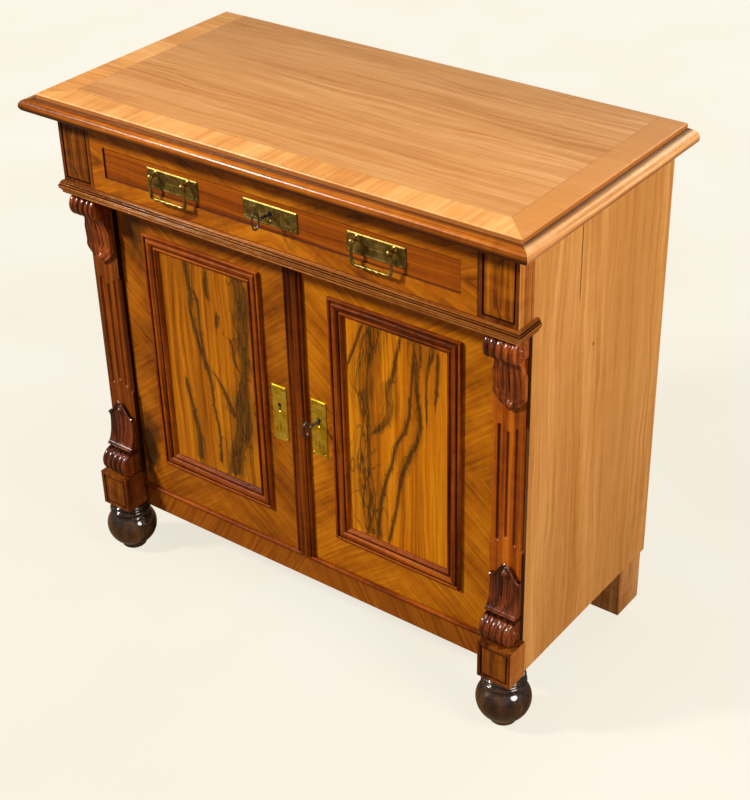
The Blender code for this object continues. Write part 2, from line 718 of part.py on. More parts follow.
def build_upper_console(side):
    """Hangs under the waist moulding: a roll, then a tongue that ends in a point."""
    back = SHAFT_D
    top = WAIST_Z
    bottom = WAIST_Z - UPPER_CONSOLE_H
    radius = UPPER_ROLL_R
    roll_d = ROLL_D - radius
    roll_z = top - radius
    neck = roll_z - radius
    belly = bottom + (neck - bottom) * 0.60
    section = [
        (back, top), (roll_d, top), (roll_d + radius * 0.3, top - radius * 0.3),
        (roll_d, roll_z - radius * 0.7),
        (back + TONGUE_T * 2.6, neck + radius * 0.14), (back + TONGUE_T * 1.9, neck - radius * 0.32),
        (back + TONGUE_T * 1.4, belly + radius * 0.55), (back + TONGUE_T, belly - radius * 0.27),
        (back + TONGUE_T * 0.8, bottom + TONGUE_POINT * 0.7), (back + TONGUE_T * 0.6, bottom), (back, bottom),
    ]
    half = CONSOLE_W / 2
    outline = [
        (0, bottom), (half * 0.35, bottom + TONGUE_POINT * 0.14), (half * 0.80, bottom + TONGUE_POINT * 0.73),
        (half, bottom + TONGUE_POINT * 1.2), (half, top), (-half, top), (-half, bottom + TONGUE_POINT * 1.2),
        (-half * 0.80, bottom + TONGUE_POINT * 0.73), (-half * 0.35, bottom + TONGUE_POINT * 0.14),
    ]
    console("upper_console_" + side_name(side), side * CONSOLE_X, section, outline, (roll_d, roll_z, radius),
            (back + TONGUE_T * 0.8, bottom + TONGUE_POINT * 0.55))


def build_lower_console(side):
    """Stands on the base block: a roll under a ledge, then a reeded body with an ogee top."""
    back = SHAFT_D
    bottom = BASE_TOP_Z + GAP
    top = bottom + LOWER_CONSOLE_H
    radius = LOWER_ROLL_R
    roll_d = ROLL_D - radius
    roll_z = bottom + radius
    ledge = roll_z + radius
    body = CONSOLE_BODY_T
    section = [
        (back, bottom), (roll_d, bottom), (roll_d + radius * 0.16, bottom + radius * 0.4),
        (roll_d, ledge - radius * 0.3), (back + LEDGE_T, ledge - radius * 0.12), (back + LEDGE_T, ledge),
        (back + LEDGE_T * 0.75, ledge + radius * 0.4),
        (back + body + (LEDGE_T - body) * 0.25, ledge + radius * 1.1), (back + body, ledge + radius * 2),
        (back + body, top - CONSOLE_LIP_H * 0.7), (back + CONSOLE_LIP_T, top - CONSOLE_LIP_H * 0.5),
        (back + CONSOLE_LIP_T, top), (back, top),
    ]
    half = CONSOLE_W / 2
    outline = [
        (0, top), (-half * 0.22, top - CONSOLE_LIP_H * 0.1), (-half * 0.50, top - CONSOLE_LIP_H * 0.46),
        (-half * 0.80, top - CONSOLE_LIP_H * 0.84), (-half, top - CONSOLE_LIP_H), (-half, bottom),
        (half, bottom), (half, top - CONSOLE_LIP_H), (half * 0.80, top - CONSOLE_LIP_H * 0.84),
        (half * 0.50, top - CONSOLE_LIP_H * 0.46), (half * 0.22, top - CONSOLE_LIP_H * 0.1),
    ]
    console("lower_console_" + side_name(side), side * CONSOLE_X, section, outline, (roll_d, roll_z, radius),
            (back + CONSOLE_LIP_T, top - CONSOLE_LIP_H * 0.65))


def build_bases_and_feet():
    foot_top = CASE_Z - GAP
    profile = [
        (0, foot_top), (NECK_R, foot_top), (NECK_R + 0.0015, foot_top - 0.004), (NECK_R, foot_top - 0.008),
        (NECK_R - 0.0020, foot_top - 0.010), (NECK_R + 0.0020, foot_top - 0.013),
        (NECK_R + 0.0035, foot_top - 0.017), (NECK_R + 0.0020, foot_top - 0.021), (NECK_R, foot_top - 0.024),
    ]
    shoulder = foot_top - 0.028 - BALL_Z
    for k in range(6):
        angle = pi / 2 * (0.42 - 0.42 * k / 5)
        profile.append((BALL_R * cos(angle), BALL_Z + shoulder * sin(angle) / sin(pi / 2 * 0.42)))
    belly = BALL_Z - FOOT_BASE_H - 0.003
    for k in range(1, 7):
        angle = pi / 2 * 0.66 * k / 6
        profile.append((BALL_R * cos(angle), BALL_Z - belly * sin(angle) / sin(pi / 2 * 0.66)))
    profile += [(FOOT_BASE_R - 0.0010, FOOT_BASE_H + 0.001), (FOOT_BASE_R, FOOT_BASE_H - 0.001),
                (FOOT_BASE_R, 0), (0, 0)]
    for side in (-1, 1):
        outline = base_outline(side)
        column_block("pilaster_base_" + side_name(side), outline, CASE_Z, BASE_TOP_Z, BASE_TOP_Z,
                     "crossband_veneer")
        turned("bun_foot_" + side_name(side), profile, (side * FOOT_X, y_at(FRIEZE_D - FOOT_SET_BACK), 0),
               "dark_foot")
        outer = CASE_X - REAR_FOOT_IN
        foot = box("rear_foot_" + side_name(side), (side * outer, side * (outer - REAR_FOOT_W)),
                   (REAR_FOOT_BACK, REAR_FOOT_BACK + REAR_FOOT_D), (0, foot_top), "walnut_side")
        soften(foot, CASE_ROUND)


def build_plinth():
    reach = SHAFT_X - GAP
    rail = box("plinth_rail", (-reach, reach), (STILE_BACK_D, DOOR_D), (CASE_Z - PLINTH_DROP, PLINTH_TOP_Z),
               "crossband_veneer")
    holes = [
        rod("plinth_pin_hole_" + side_name(side), (side * PIN_X, y_at(PIN_D), PLINTH_TOP_Z + CUT_OVER),
            (side * PIN_X, y_at(PIN_D), PLINTH_TOP_Z - PIN_DEPTH - PIN_END_GAP), PIN_R + GAP)
        for side in (-1, 1)
    ]
    cut(rail, *holes)
    low = PLINTH_TOP_Z - BEAD_H
    section = [(y_at(DOOR_D + GAP), low), (y_at(DOOR_D + GAP), PLINTH_TOP_Z)]
    for k in range(7):
        angle = pi * (0.5 - k / 6)
        section.append((y_at(DOOR_D + GAP + BEAD_PROUD * cos(angle)) - GAP,
                        low + BEAD_H / 2 + BEAD_H / 2 * sin(angle)))
    length = min(BASE_X, SHAFT_X) - GAP
    prism("plinth_bead", section[1:] + section[:1], -length, length, "X", "red_walnut")


def build_door_pins():
    for side in (-1, 1):
        name = side_name(side) + "_door_"
        x, y = side * PIN_X, y_at(PIN_D)
        rod(name + "lower_pin", (x, y, PLINTH_TOP_Z - PIN_DEPTH), (x, y, DOOR_Z0 + PIN_DEPTH), PIN_R, "iron",
            sides=12)
        rod(name + "upper_pin", (x, y, DOOR_Z1 - PIN_DEPTH), (x, y, WAIST_Z + PIN_DEPTH), PIN_R, "iron",
            sides=12)


def door_spans(side):
    """The door's x range, the moulding's outer x range and its z range."""
    meet = MEET_X + side * DOOR_GAP / 2
    edge = side * DOOR_EDGE_X
    mould = (side * MOULD_MEETING_MARGIN, side * (DOOR_EDGE_X - MOULD_SIDE_MARGIN))
    heights = (DOOR_Z0 + MOULD_BOTTOM_MARGIN, DOOR_Z1 - MOULD_TOP_MARGIN)
    return (meet, edge), mould, heights


def build_door(side):
    """Frame, fielded panel and the moulding that laps both; the pieces' origins are on the pivot line."""
    name = side_name(side) + "_door"
    across, mould, heights = door_spans(side)
    pivot = (side * PIN_X, y_at(PIN_D), DOOR_Z0)
    frame = box(name + "_frame", across, (DOOR_BACK_D, DOOR_D), (DOOR_Z0, DOOR_Z1), "crossband_veneer",
                origin=pivot)
    inner = (min(mould) + MOULD_SEAT, max(mould) - MOULD_SEAT)
    tall = (heights[0] + MOULD_SEAT, heights[1] - MOULD_SEAT)
    opening = box(name + "_opening", inner, (DOOR_BACK_D - CUT_OVER, DOOR_D + CUT_OVER), tall)
    holes = [
        rod(name + "_pin_hole_low", (*pivot[:2], DOOR_Z0 - CUT_OVER),
            (*pivot[:2], DOOR_Z0 + PIN_DEPTH + PIN_END_GAP), PIN_R + GAP),
        rod(name + "_pin_hole_high", (*pivot[:2], DOOR_Z1 + CUT_OVER),
            (*pivot[:2], DOOR_Z1 - PIN_DEPTH - PIN_END_GAP), PIN_R + GAP),
    ]
    cut(frame, opening, *holes)
    panel_front = DOOR_D - PANEL_SUNK
    panel = box(name + "_panel", (inner[0] + GAP, inner[1] - GAP), (panel_front - PANEL_T, panel_front),
                (tall[0] + GAP, tall[1] - GAP), "figured_veneer", origin=pivot)
    profile = [
        (0, GAP), (0, 0.0045), (-0.0020, 0.0060), (-0.0045, 0.0060), (-0.0060, 0.0045), (-0.0080, 0.0045),
        (-0.0115, 0.0072), (-0.0150, 0.0072), (-0.0200, 0.0035), (-0.0225, 0.0022), (-0.0245, 0.0035),
        (-0.0280, 0.0030), (-MOULD_W, 0.0005), (-MOULD_W, GAP - PANEL_SUNK),
        (-MOULD_SEAT - GAP, GAP - PANEL_SUNK), (-MOULD_SEAT - GAP, GAP),
    ]
    left, right = min(mould), max(mould)
    path = [(left, heights[0]), (right, heights[0]), (right, heights[1]), (left, heights[1])]
    moulding = swept(name + "_moulding", profile, path, front_plane, True, "red_walnut", pivot)
    return [frame, panel, moulding], frame, pivot


def keyhole(name, x, depth, z):
    """Cutter for a keyhole: a round hole over a slot."""
    half = KEYHOLE_SLOT_W / 2
    slot = [(x - half, z - KEYHOLE_SLOT_H), (x + half, z - KEYHOLE_SLOT_H), (x + half, z), (x - half, z)]
    drop = prism(name + "_slot", slot, y_at(depth + KEYHOLE_DEPTH), y_at(depth - KEYHOLE_DEPTH), "Y")
    reach = KEYHOLE_DEPTH + GAP
    round_hole = rod(name + "_hole", (x, y_at(depth + reach), z), (x, y_at(depth - reach), z),
                     KEY_R + KEYHOLE_PLAY)
    return [drop, round_hole]


def plate(name, x, depth, z, wide, tall, origin=None):
    """A thin brass plate lying on the surface at a depth."""
    obj = box(name, (x - wide / 2, x + wide / 2), (depth + GAP, depth + GAP + PLATE_T),
              (z - tall / 2, z + tall / 2), "brass", origin=origin)
    return obj


def key(name, x, face, z, tip, bow_out):
    """A key: shank and collar along Y, an upright oval bow, its origin on the turning axis."""
    bow_d = face + bow_out
    origin = (x, y_at(face), z)
    shank_end = bow_d - BOW_W / 2 + BOW_WIRE
    shank = rod(name, (x, y_at(tip), z), (x, y_at(shank_end), z), KEY_R, "iron", sides=12, origin=origin)
    collar_d = face + COLLAR_OUT
    collar = rod(name + "_collar", (x, y_at(collar_d), z), (x, y_at(collar_d + COLLAR_L), z),
                 KEY_R + COLLAR_PROUD, sides=12)
    bpy.ops.mesh.primitive_torus_add(
        major_segments=24, minor_segments=8, major_radius=BOW_H / 2 - BOW_WIRE, minor_radius=BOW_WIRE,
        location=(x, y_at(bow_d), z), rotation=(0, pi / 2, 0),
    )
    bow = bpy.context.object
    bow.name = name + "_bow"
    bow.scale = (1.0, BOW_W / BOW_H, 1.0)
    bow.hide_render = True
    bow.display_type = "WIRE"
    for holder in list(bow.users_collection):
        holder.objects.unlink(bow)
    bpy.data.collections[CUTTERS].objects.link(bow)
    join(shank, collar, bow)
    return shank


def build_left_door():
    pieces, frame, pivot = build_door(-1)
    x = LEFT_PLATE_X
    escutcheon = plate("left_door_escutcheon", x, DOOR_D, PLATE_Z, DOOR_PLATE_W, PLATE_LONG,
                       origin=pivot)
    holes = keyhole("left_keyhole", x, DOOR_D + PLATE_T, DOOR_KEY_Z)
    cut(escutcheon, *holes)
    cut(frame, *holes)
    bolt = build_slide_bolt(frame)
    carried("left_door", pivot, pieces + [escutcheon])
    carried("left_door_bolt", bolt.location.copy(), [bolt])


def build_slide_bolt(frame):
    """Round bolt let into the left door's meeting stile; it goes up into the drawer rail."""
    x = MEET_X - SLIDE_BOLT_X
    y = y_at(SLIDE_BOLT_D)
    top = DOOR_Z1 - SLIDE_BOLT_DOWN
    low = top - SLIDE_BOLT_L
    bore = rod("slide_bolt_bore", (x, y, low - KEEP_PLAY), (x, y, DOOR_Z1 + CUT_OVER), SLIDE_BOLT_R + GAP)
    grip_z = low + SLIDE_GRIP_UP
    grip_way = box("slide_bolt_grip_way", (x - SLIDE_GRIP_R - GAP, x + SLIDE_GRIP_R + GAP),
                   (DOOR_BACK_D - CUT_OVER, SLIDE_BOLT_D),
                   (grip_z - SLIDE_GRIP_R - GAP, grip_z + SLIDE_GRIP_R + SLIDE_THROW + KEEP_PLAY))
    cut(frame, bore, grip_way)
    bolt = rod("left_door_bolt", (x, y, low), (x, y, top), SLIDE_BOLT_R, "iron", sides=12, origin=(x, y, top))
    grip = rod("slide_bolt_grip", (x, y, grip_z), (x, y_at(DOOR_BACK_D - SLIDE_GRIP_OUT), grip_z),
               SLIDE_GRIP_R, sides=10)
    join(bolt, grip)
    return bolt


def build_right_door():
    pieces, frame, pivot = build_door(1)
    x = RIGHT_PLATE_X
    escutcheon = plate("right_door_escutcheon", x, DOOR_D, PLATE_Z, DOOR_PLATE_W, PLATE_LONG,
                       origin=pivot)
    holes = keyhole("right_keyhole", x, DOOR_D + PLATE_T, DOOR_KEY_Z)
    tip = DOOR_BACK_D - KEY_IN
    way = rod("right_key_way", (x, y_at(DOOR_D + CUT_OVER), DOOR_KEY_Z),
              (x, y_at(tip - KEYHOLE_PLAY), DOOR_KEY_Z), KEY_R + GAP)
    cut(escutcheon, *holes)
    cut(frame, *holes, way)
    edge = MEET_X + DOOR_GAP / 2
    lock = box("right_door_lock", (edge, x + LOCK_PAST_KEY), (DOOR_BACK_D - GAP - LOCK_T, DOOR_BACK_D - GAP),
               (DOOR_KEY_Z - LOCK_LONG / 2, DOOR_KEY_Z + LOCK_LONG / 2), "iron", origin=pivot)
    middle_d = DOOR_BACK_D - GAP - LOCK_T / 2
    slot_t = LOCK_BOLT_T / 2 + GAP
    slot_w = LOCK_BOLT_W / 2 + GAP
    slot_x = (edge - CUT_OVER, x - BOLT_BEFORE_KEY)
    slot = box("right_lock_slot", slot_x, (middle_d - slot_t, middle_d + slot_t),
               (DOOR_KEY_Z - slot_w, DOOR_KEY_Z + slot_w))
    cut(lock, slot, way)
    bolt_x = (edge + BOLT_INSIDE, x - BOLT_BEFORE_KEY - GAP)
    bolt = box("right_door_lock_bolt", bolt_x, (middle_d - LOCK_BOLT_T / 2, middle_d + LOCK_BOLT_T / 2),
               (DOOR_KEY_Z - LOCK_BOLT_W / 2, DOOR_KEY_Z + LOCK_BOLT_W / 2), "iron")
    astragal = build_astragal(pivot)
    door_key = key("right_door_key", x, DOOR_D, DOOR_KEY_Z, tip, DOOR_BOW_OUT)
    carried("right_door", pivot, pieces + [escutcheon, lock, astragal])
    carried("right_door_key", door_key.location.copy(), [door_key])
    carried("right_door_lock_bolt", bolt.location.copy(), [bolt])


def build_astragal(pivot):
    """The moulded strip on the right door's meeting edge."""
    half = ASTRAGAL_W / 2
    section = [
        (-half, GAP), (-half, 0.0040), (-half + 0.0020, 0.0060), (-half + 0.0050, 0.0060),
        (-half + 0.0065, 0.0040), (-half + 0.0080, 0.0085), (half - 0.0080, 0.0085), (half - 0.0065, 0.0040),
        (half - 0.0050, 0.0060), (half - 0.0020, 0.0060), (half, 0.0040), (half, GAP),
    ]
    start = MEET_X + DOOR_GAP / 2 + half
    outline = [(start + x, y_at(DOOR_D + out)) for x, out in section]
    return prism("centre_astragal", outline, DOOR_Z0, DOOR_Z1, "Z", "red_walnut", origin=pivot)


def build_drawer():
    origin = (0, y_at(FRIEZE_D), DRAWER_Z0)
    front = box("drawer_front", (-DRAWER_X, DRAWER_X), (DRAWER_FRONT_BACK_D, FRIEZE_D),
                (DRAWER_Z0, DRAWER_Z1), "crossband_veneer", origin=origin)
    recess_x = DRAWER_X - RECESS_SIDE
    recess = box("drawer_recess", (-recess_x, recess_x), (RECESS_D, FRIEZE_D + CUT_OVER),
                 (DRAWER_Z0 + RECESS_BOTTOM, DRAWER_Z1 - RECESS_TOP))
    behind = DRAWER_FRONT_BACK_D - GAP
    tip = behind - KEY_IN
    way = rod("drawer_key_way", (0, y_at(FRIEZE_D), DRAWER_KEY_Z),
              (0, y_at(tip - KEYHOLE_PLAY), DRAWER_KEY_Z), KEY_R + GAP)
    holes = keyhole("drawer_keyhole", 0, RECESS_D + PLATE_T, DRAWER_KEY_Z)
    cut(front, recess, way, *holes)
    side_z = (RAIL_TOP_Z + GAP, RAIL_TOP_Z + GAP + DRAWER_SIDE_H)
    side_in = DRAWER_X - DRAWER_SIDE_T
    sides = [
        box("drawer_side_" + side_name(side), (side * side_in, side * DRAWER_X), (DRAWER_BACK_D, behind),
            side_z, "pine", origin=origin)
        for side in (-1, 1)
    ]
    bottom_z = side_z[0] + DRAWER_BOTTOM_UP
    inner = side_in - GAP
    bottom = box("drawer_bottom", (-inner, inner), (DRAWER_BACK_D, behind),
                 (bottom_z, bottom_z + DRAWER_BOTTOM_T), "pine", origin=origin)
    back = box("drawer_back", (-inner, inner), (DRAWER_BACK_D, DRAWER_BACK_D + DRAWER_SIDE_T),
               (bottom_z + DRAWER_BOTTOM_T + GAP, side_z[1] - DRAWER_BACK_DOWN), "pine", origin=origin)
    escutcheon = plate("drawer_escutcheon", 0, RECESS_D, RECESS_Z, PLATE_LONG, PLATE_SHORT, origin=origin)
    cut(escutcheon, *holes)
    pulls = [build_pull(side, origin) for side in (-1, 1)]
    lock, bolt = build_drawer_lock(origin, behind, way)
    drawer_key = key("drawer_key", 0, RECESS_D, DRAWER_KEY_Z, tip, DRAWER_BOW_OUT)
    carried("drawer", origin, [front, bottom, back, escutcheon, lock] + sides + pulls)
    carried("drawer_key", drawer_key.location.copy(), [drawer_key])
    carried("drawer_lock_bolt", bolt.location.copy(), [bolt])


def build_drawer_lock(origin, behind, way):
    """Box lock behind the drawer front; its bolt goes up into a mortise in the rail under the top."""
    middle_d = behind - LOCK_T / 2
    top = DRAWER_Z1 - LOCK_TOP_GAP
    lock = box("drawer_lock", (-LOCK_LONG / 2, LOCK_LONG / 2), (behind - LOCK_T, behind),
               (DRAWER_KEY_Z - LOCK_BELOW_KEY, top), "iron", origin=origin)
    half_w, half_t = LOCK_BOLT_W / 2, LOCK_BOLT_T / 2
    foot = DRAWER_KEY_Z + BOLT_BEFORE_KEY
    slot = box("drawer_lock_slot", (-half_w - GAP, half_w + GAP),
               (middle_d - half_t - GAP, middle_d + half_t + GAP), (foot, top + CUT_OVER))
    cut(lock, slot, way)
    bolt = box("drawer_lock_bolt", (-half_w, half_w), (middle_d - half_t, middle_d + half_t),
               (foot + GAP, top - BOLT_INSIDE), "iron")
    mortise = box("drawer_bolt_mortise", (-half_w - KEEP_PLAY, half_w + KEEP_PLAY),
                  (middle_d - half_t - KEEP_PLAY, middle_d + half_t + KEEP_PLAY),
                  (DRAWER_Z1, top + LOCK_THROW + KEEP_PLAY))
    cut(bpy.data.objects["top_rail"], mortise)
    return lock, bolt


def build_pull(side, origin):
    """Brass plate with two posts, and the bail that swings in them."""
    x = side * PULL_X
    name = side_name(side)
    pull = plate("pull_plate_" + name, x, RECESS_D, RECESS_Z, PLATE_LONG, PLATE_SHORT, origin=origin)
    face = RECESS_D + GAP + PLATE_T
    reach = POST_D - face
    profile = [(0, reach + POST_BALL_R)]
    profile += [(POST_BALL_R * sin(pi * k / 8), reach + POST_BALL_R * cos(pi * k / 8)) for k in range(1, 7)]
    profile += [(POST_R * 0.8, reach - POST_BALL_R), (POST_R * 0.8, 0.003), (POST_R * 1.6, 0.0012),
                (POST_R * 1.6, -PLATE_T / 2), (0, -PLATE_T / 2)]
    posts = [
        turned("%s_post_%d" % (name, k), profile, (x + k * POST_SPACING / 2, y_at(face), POST_Z), steps=12,
               rotation=(pi / 2, 0, 0))
        for k in (-1, 1)
    ]
    join(pull, *posts)
    build_bail(name, x)
    return pull


def build_bail(name, x):
    """The swinging handle: a bent bar whose ends point in at the posts' balls."""
    start = POST_SPACING / 2 + POST_BALL_R + GAP
    out = start + BAIL_R
    drop = BAIL_DROP
    half = [(start, 0), (out - 0.0008, -0.0004), (out + 0.0004, -0.0030), (out + 0.0020, -drop * 0.35),
            (out + 0.0015, -drop * 0.70), (out - 0.0015, -drop * 0.93), (out - 0.0060, -drop)]
    points = [(-a, b) for a, b in half] + [(a, b) for a, b in reversed(half)]
    curve = bpy.data.curves.new("bail_" + name, "CURVE")
    curve.dimensions = "3D"
    curve.bevel_depth = BAIL_R
    curve.bevel_resolution = 2
    curve.use_fill_caps = True
    line = curve.splines.new("POLY")
    line.points.add(len(points) - 1)
    for point, (across, down) in zip(line.points, points):
        point.co = (across, 0, down, 1)
    bail = bpy.data.objects.new("bail_" + name, curve)
    bail.location = (x, y_at(POST_D), POST_Z)
    bpy.data.collections[PARTS].objects.link(bail)
    curve.materials.append(bpy.data.materials["brass"])


def main():
    clear_scene()
    make_collection(PARTS)
    make_collection(CUTTERS)
    for name in FINISHES:
        make_finish(name)
    build_top()
    build_case()
    build_frieze_blocks()
    build_waist_moulding()
    for side in (-1, 1):
        build_pilaster(side)
        build_upper_console(side)
        build_lower_console(side)
    build_bases_and_feet()
    build_plinth()
    build_door_pins()
    build_left_door()
    build_right_door()
    build_drawer()


main()
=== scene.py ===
"""Looks for the low walnut cupboard: its camera, lights, finely shaped pieces and materials.

Metres, +Z up, the front towards -Y. Depths are measured forward from the back of the case.
"""

from math import ceil, cos, exp, hypot, pi, radians, sin, sqrt

import bmesh
import bpy
from mathutils import Matrix, Vector


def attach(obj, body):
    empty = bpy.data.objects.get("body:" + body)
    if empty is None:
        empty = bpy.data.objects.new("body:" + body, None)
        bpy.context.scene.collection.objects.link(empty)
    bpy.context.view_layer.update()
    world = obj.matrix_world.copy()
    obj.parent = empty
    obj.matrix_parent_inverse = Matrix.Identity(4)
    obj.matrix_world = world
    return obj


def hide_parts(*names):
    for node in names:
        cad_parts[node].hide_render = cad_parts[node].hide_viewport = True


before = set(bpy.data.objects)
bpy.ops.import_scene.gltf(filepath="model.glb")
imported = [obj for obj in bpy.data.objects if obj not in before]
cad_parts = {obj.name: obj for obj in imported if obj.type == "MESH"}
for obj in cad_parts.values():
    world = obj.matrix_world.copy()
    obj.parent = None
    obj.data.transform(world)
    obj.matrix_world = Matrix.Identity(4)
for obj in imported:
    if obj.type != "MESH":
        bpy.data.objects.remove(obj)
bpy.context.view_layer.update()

BACK_Y = 0.255
GAP = 0.0003
SIDES = ((-1, "left"), (1, "right"))

# Camera
CAMERA_POSITION = (1.5624, -1.9883, 1.9942)
CAMERA_AZIMUTH = 37.42
CAMERA_ELEVATION = 32.29
CAMERA_ROLL = -1.51
LENS = 79.58
SENSOR = 36.0

# Case
TOP_Z = 0.955
EDGE_Z = 0.947
BOARD_Z = 0.933
BOARD_X = 0.4825
BOARD_D = 0.4875
RIM_R = 0.0030
CASE_X = 0.465
INSIDE_X = 0.4447
SIDE_D = 0.4218
STILE_BACK_D = 0.385
FRIEZE_D = 0.4625
FRIEZE_Z = 0.7915
MOULDING_Z = 0.913
SIDE_SEAT = 0.0172
FRONT_SEAT = 0.0247
BLOCK_X = 0.3945
WAIST_Z = 0.767
WAIST_H = 0.0245
WAIST_RETURN_D = 0.4125
# Heights of the waist's grooves above WAIST_Z, where the reeds get painted shade.
REED_GROOVES = (0.0052, 0.0093, 0.0132, 0.0169, 0.0204)
BASE_Z = 0.104
BASE_TOP_Z = 0.1775
BASE_X = 0.4035
BASE_OUT_X = 0.469
BASE_D = 0.466
BASE_LAP_D = 0.4184
BEAD_X = 0.3977
BEAD_Z = 0.1445
BEAD_H = 0.0075
BAND_W = 0.049
NOSE_R = 0.0110
NOSE_OVER = 0.0225

# Columns
SHAFT_X = 0.398
SHAFT_OUT_X = 0.4595
SHAFT_D = 0.4255
SHAFT_HALF = (SHAFT_OUT_X - SHAFT_X) / 2
FLUTE_R = 0.0045
FLUTE_CUT = 0.0030
FLUTE_PITCH = 0.0165
FLUTE_LOW = 0.366
FLUTE_HIGH = 0.592
FLUTE_SHORTER = 0.010
CHAMFER = 0.005
CONSOLE_X = 0.4325
CONSOLE_HALF = 0.029
ACROSS = [-1 + 2 * k / 56 for k in range(57)]
CARVED_CUT = 0.0032
RIB_CUT = 0.0052
ROLL_STEPS = 22
ROLL_FRONT_D = 0.4670
UPPER_ROLL_R = 0.022
LOWER_ROLL_R = 0.0255
UPPER_TIP_Z = 0.6235
UPPER_POINT_H = 0.0265
LOWER_TOP_Z = 0.3323
LOWER_BOSS_Z = LOWER_TOP_Z - 0.0215
FOOT_X = 0.43625
FOOT_D = 0.4315
BALL_R = 0.0485
BALL_Z = 0.050
FOOT_TOP_Z = 0.1037

# Doors
DOOR_D = 0.415
DOOR_Z0 = 0.1535
DOOR_Z1 = 0.7655
DOOR_CENTRE = (0.2046, 0.463)
MOULD_OUT = (0.0729, 0.3362)
MOULD_HEIGHTS = (0.2212, 0.7067)
MOULD_W = 0.030
PANEL_X = (0.1029, 0.3062)
PANEL_Z = (0.2512, 0.6767)
ASTRAGAL = (-0.0182, 0.0198)
DOOR_KEY_Z = 0.455
PLATE_Z = 0.4385
PLATE_LONG = 0.112
PLATE_W = 0.033
PLATE_THICK = 0.0011
LEFT_PLATE_X = -0.044
RIGHT_PLATE_X = 0.0425

# Drawer
DRAWER_X = 0.3935
DRAWER_Z = (0.7925, 0.9015)
RECESS_X = 0.363
RECESS_Z = (0.8205, 0.876)
RECESS_D = 0.460
PULL_X = 0.208
PULL_Z = 0.84825
PULL_H = 0.036
POST_HALF = 0.035
POST_Z = 0.85825
POST_D = 0.4743
BAIL_DROP = 0.040
DRAWER_KEY_Z = 0.85225
DRAWER_PLATE = (PLATE_LONG, PULL_H)
DRAWER_PINS = (0.052, 0.0135)
DRAWER_BRASS = ["old_brass_reflecting_dark", "keyhole_shade", "old_brass"]

# Turned pieces: (radius, distance along the axis)
PIN = ((0.0019, -0.0004), (0.0019, 0.0004), (0.0013, 0.0011), (0.0, 0.0014))
POST = ((0.0062, 0.0), (0.0062, 0.0016), (0.0046, 0.0026), (0.0034, 0.0050), (0.0034, 0.0100),
        (0.0044, 0.0112), (0.0050, 0.0130), (0.0050, 0.0150), (0.0042, 0.0168), (0.0024, 0.0180),
        (0.0, 0.0184))
BAIL_EYE = ((0.0030, -0.0024), (0.0052, -0.0020), (0.0056, 0.0), (0.0052, 0.0020), (0.0030, 0.0024))

# Colours, dark to light, as display values from 0 to 255
GOLD = ((118, 58, 4), (172, 94, 8), (206, 124, 18))
DARK_GOLD = ((92, 42, 4), (148, 78, 8), (188, 108, 16))
RED = ((70, 25, 3), (124, 53, 6), (166, 84, 17))
SIDE = ((170, 105, 43), (202, 140, 73), (221, 165, 97))
TOP = ((188, 120, 60), (212, 148, 84), (228, 170, 108))
BAND = ((206, 136, 66), (228, 158, 84), (242, 180, 108))
# The side moulding's tones are a lighter copy of the front's: painted light on the side and painted shade on
# the front.
NOSE = ((168, 98, 46), (210, 146, 86), (234, 180, 122))
FRONT_NOSE_SHADED = ((114, 54, 7), (172, 92, 18), (208, 128, 38))
PINE = ((176, 128, 74), (206, 162, 104), (224, 186, 130))
BLACK_WOOD = ((22, 10, 4), (58, 34, 14), (102, 66, 30))
IRON = ((58, 50, 44), (104, 96, 88), (140, 132, 122))

# Painted shadows that the left consoles cast on the left door, the upper one mixed with dark heartwood
# figure: (x, z, half width, half height, strength)
LEFT_PAINTED_SHADOWS = ((-0.354, 0.702, 0.034, 0.064, 0.74), (-0.378, 0.245, 0.030, 0.088, 0.90))

# Dark figure lines of the door panels: (x, z, half width) from the top down, in tenths of a millimetre
LEFT_LINES = (
    ((-2458, 6770, 28), (-2415, 6460, 36), (-2401, 6170, 32), (-2423, 5860, 24), (-2367, 5480, 28),
     (-2269, 5100, 32), (-2176, 4860, 37), (-2090, 4550, 28), (-2045, 4210, 18), (-2023, 3830, 16),
     (-1976, 3490, 16), (-1950, 3140, 19), (-1981, 2720, 23)),
    ((-2341, 6250, 16), (-2251, 6080, 18), (-2232, 5760, 16), (-2227, 5390, 18), (-2161, 4940, 16)),
    ((-1978, 6720, 20), (-2000, 6390, 30), (-1962, 6120, 16)),
    ((-1791, 5930, 16), (-1804, 5790, 24), (-1836, 5620, 16)),
    ((-1323, 6800, 76), (-1241, 6680, 98), (-1197, 6250, 114), (-1209, 5760, 99), (-1254, 5410, 93),
     (-1224, 5050, 66), (-1266, 4730, 70), (-1328, 4360, 118), (-1358, 4000, 159), (-1335, 3730, 152),
     (-1476, 3320, 130), (-1611, 2900, 110), (-1680, 2580, 108)),
    ((-1723, 5520, 8), (-1502, 5430, 15), (-1455, 5110, 16), (-1333, 4840, 16)),
    ((-1998, 4680, 8), (-1860, 4490, 18), (-1726, 4260, 33), (-1611, 4020, 40), (-1558, 3860, 40)),
    ((-2700, 4330, 15), (-2610, 3980, 25), (-2532, 3570, 29), (-2487, 3230, 38), (-2477, 2940, 47),
     (-2492, 2600, 47)),
)
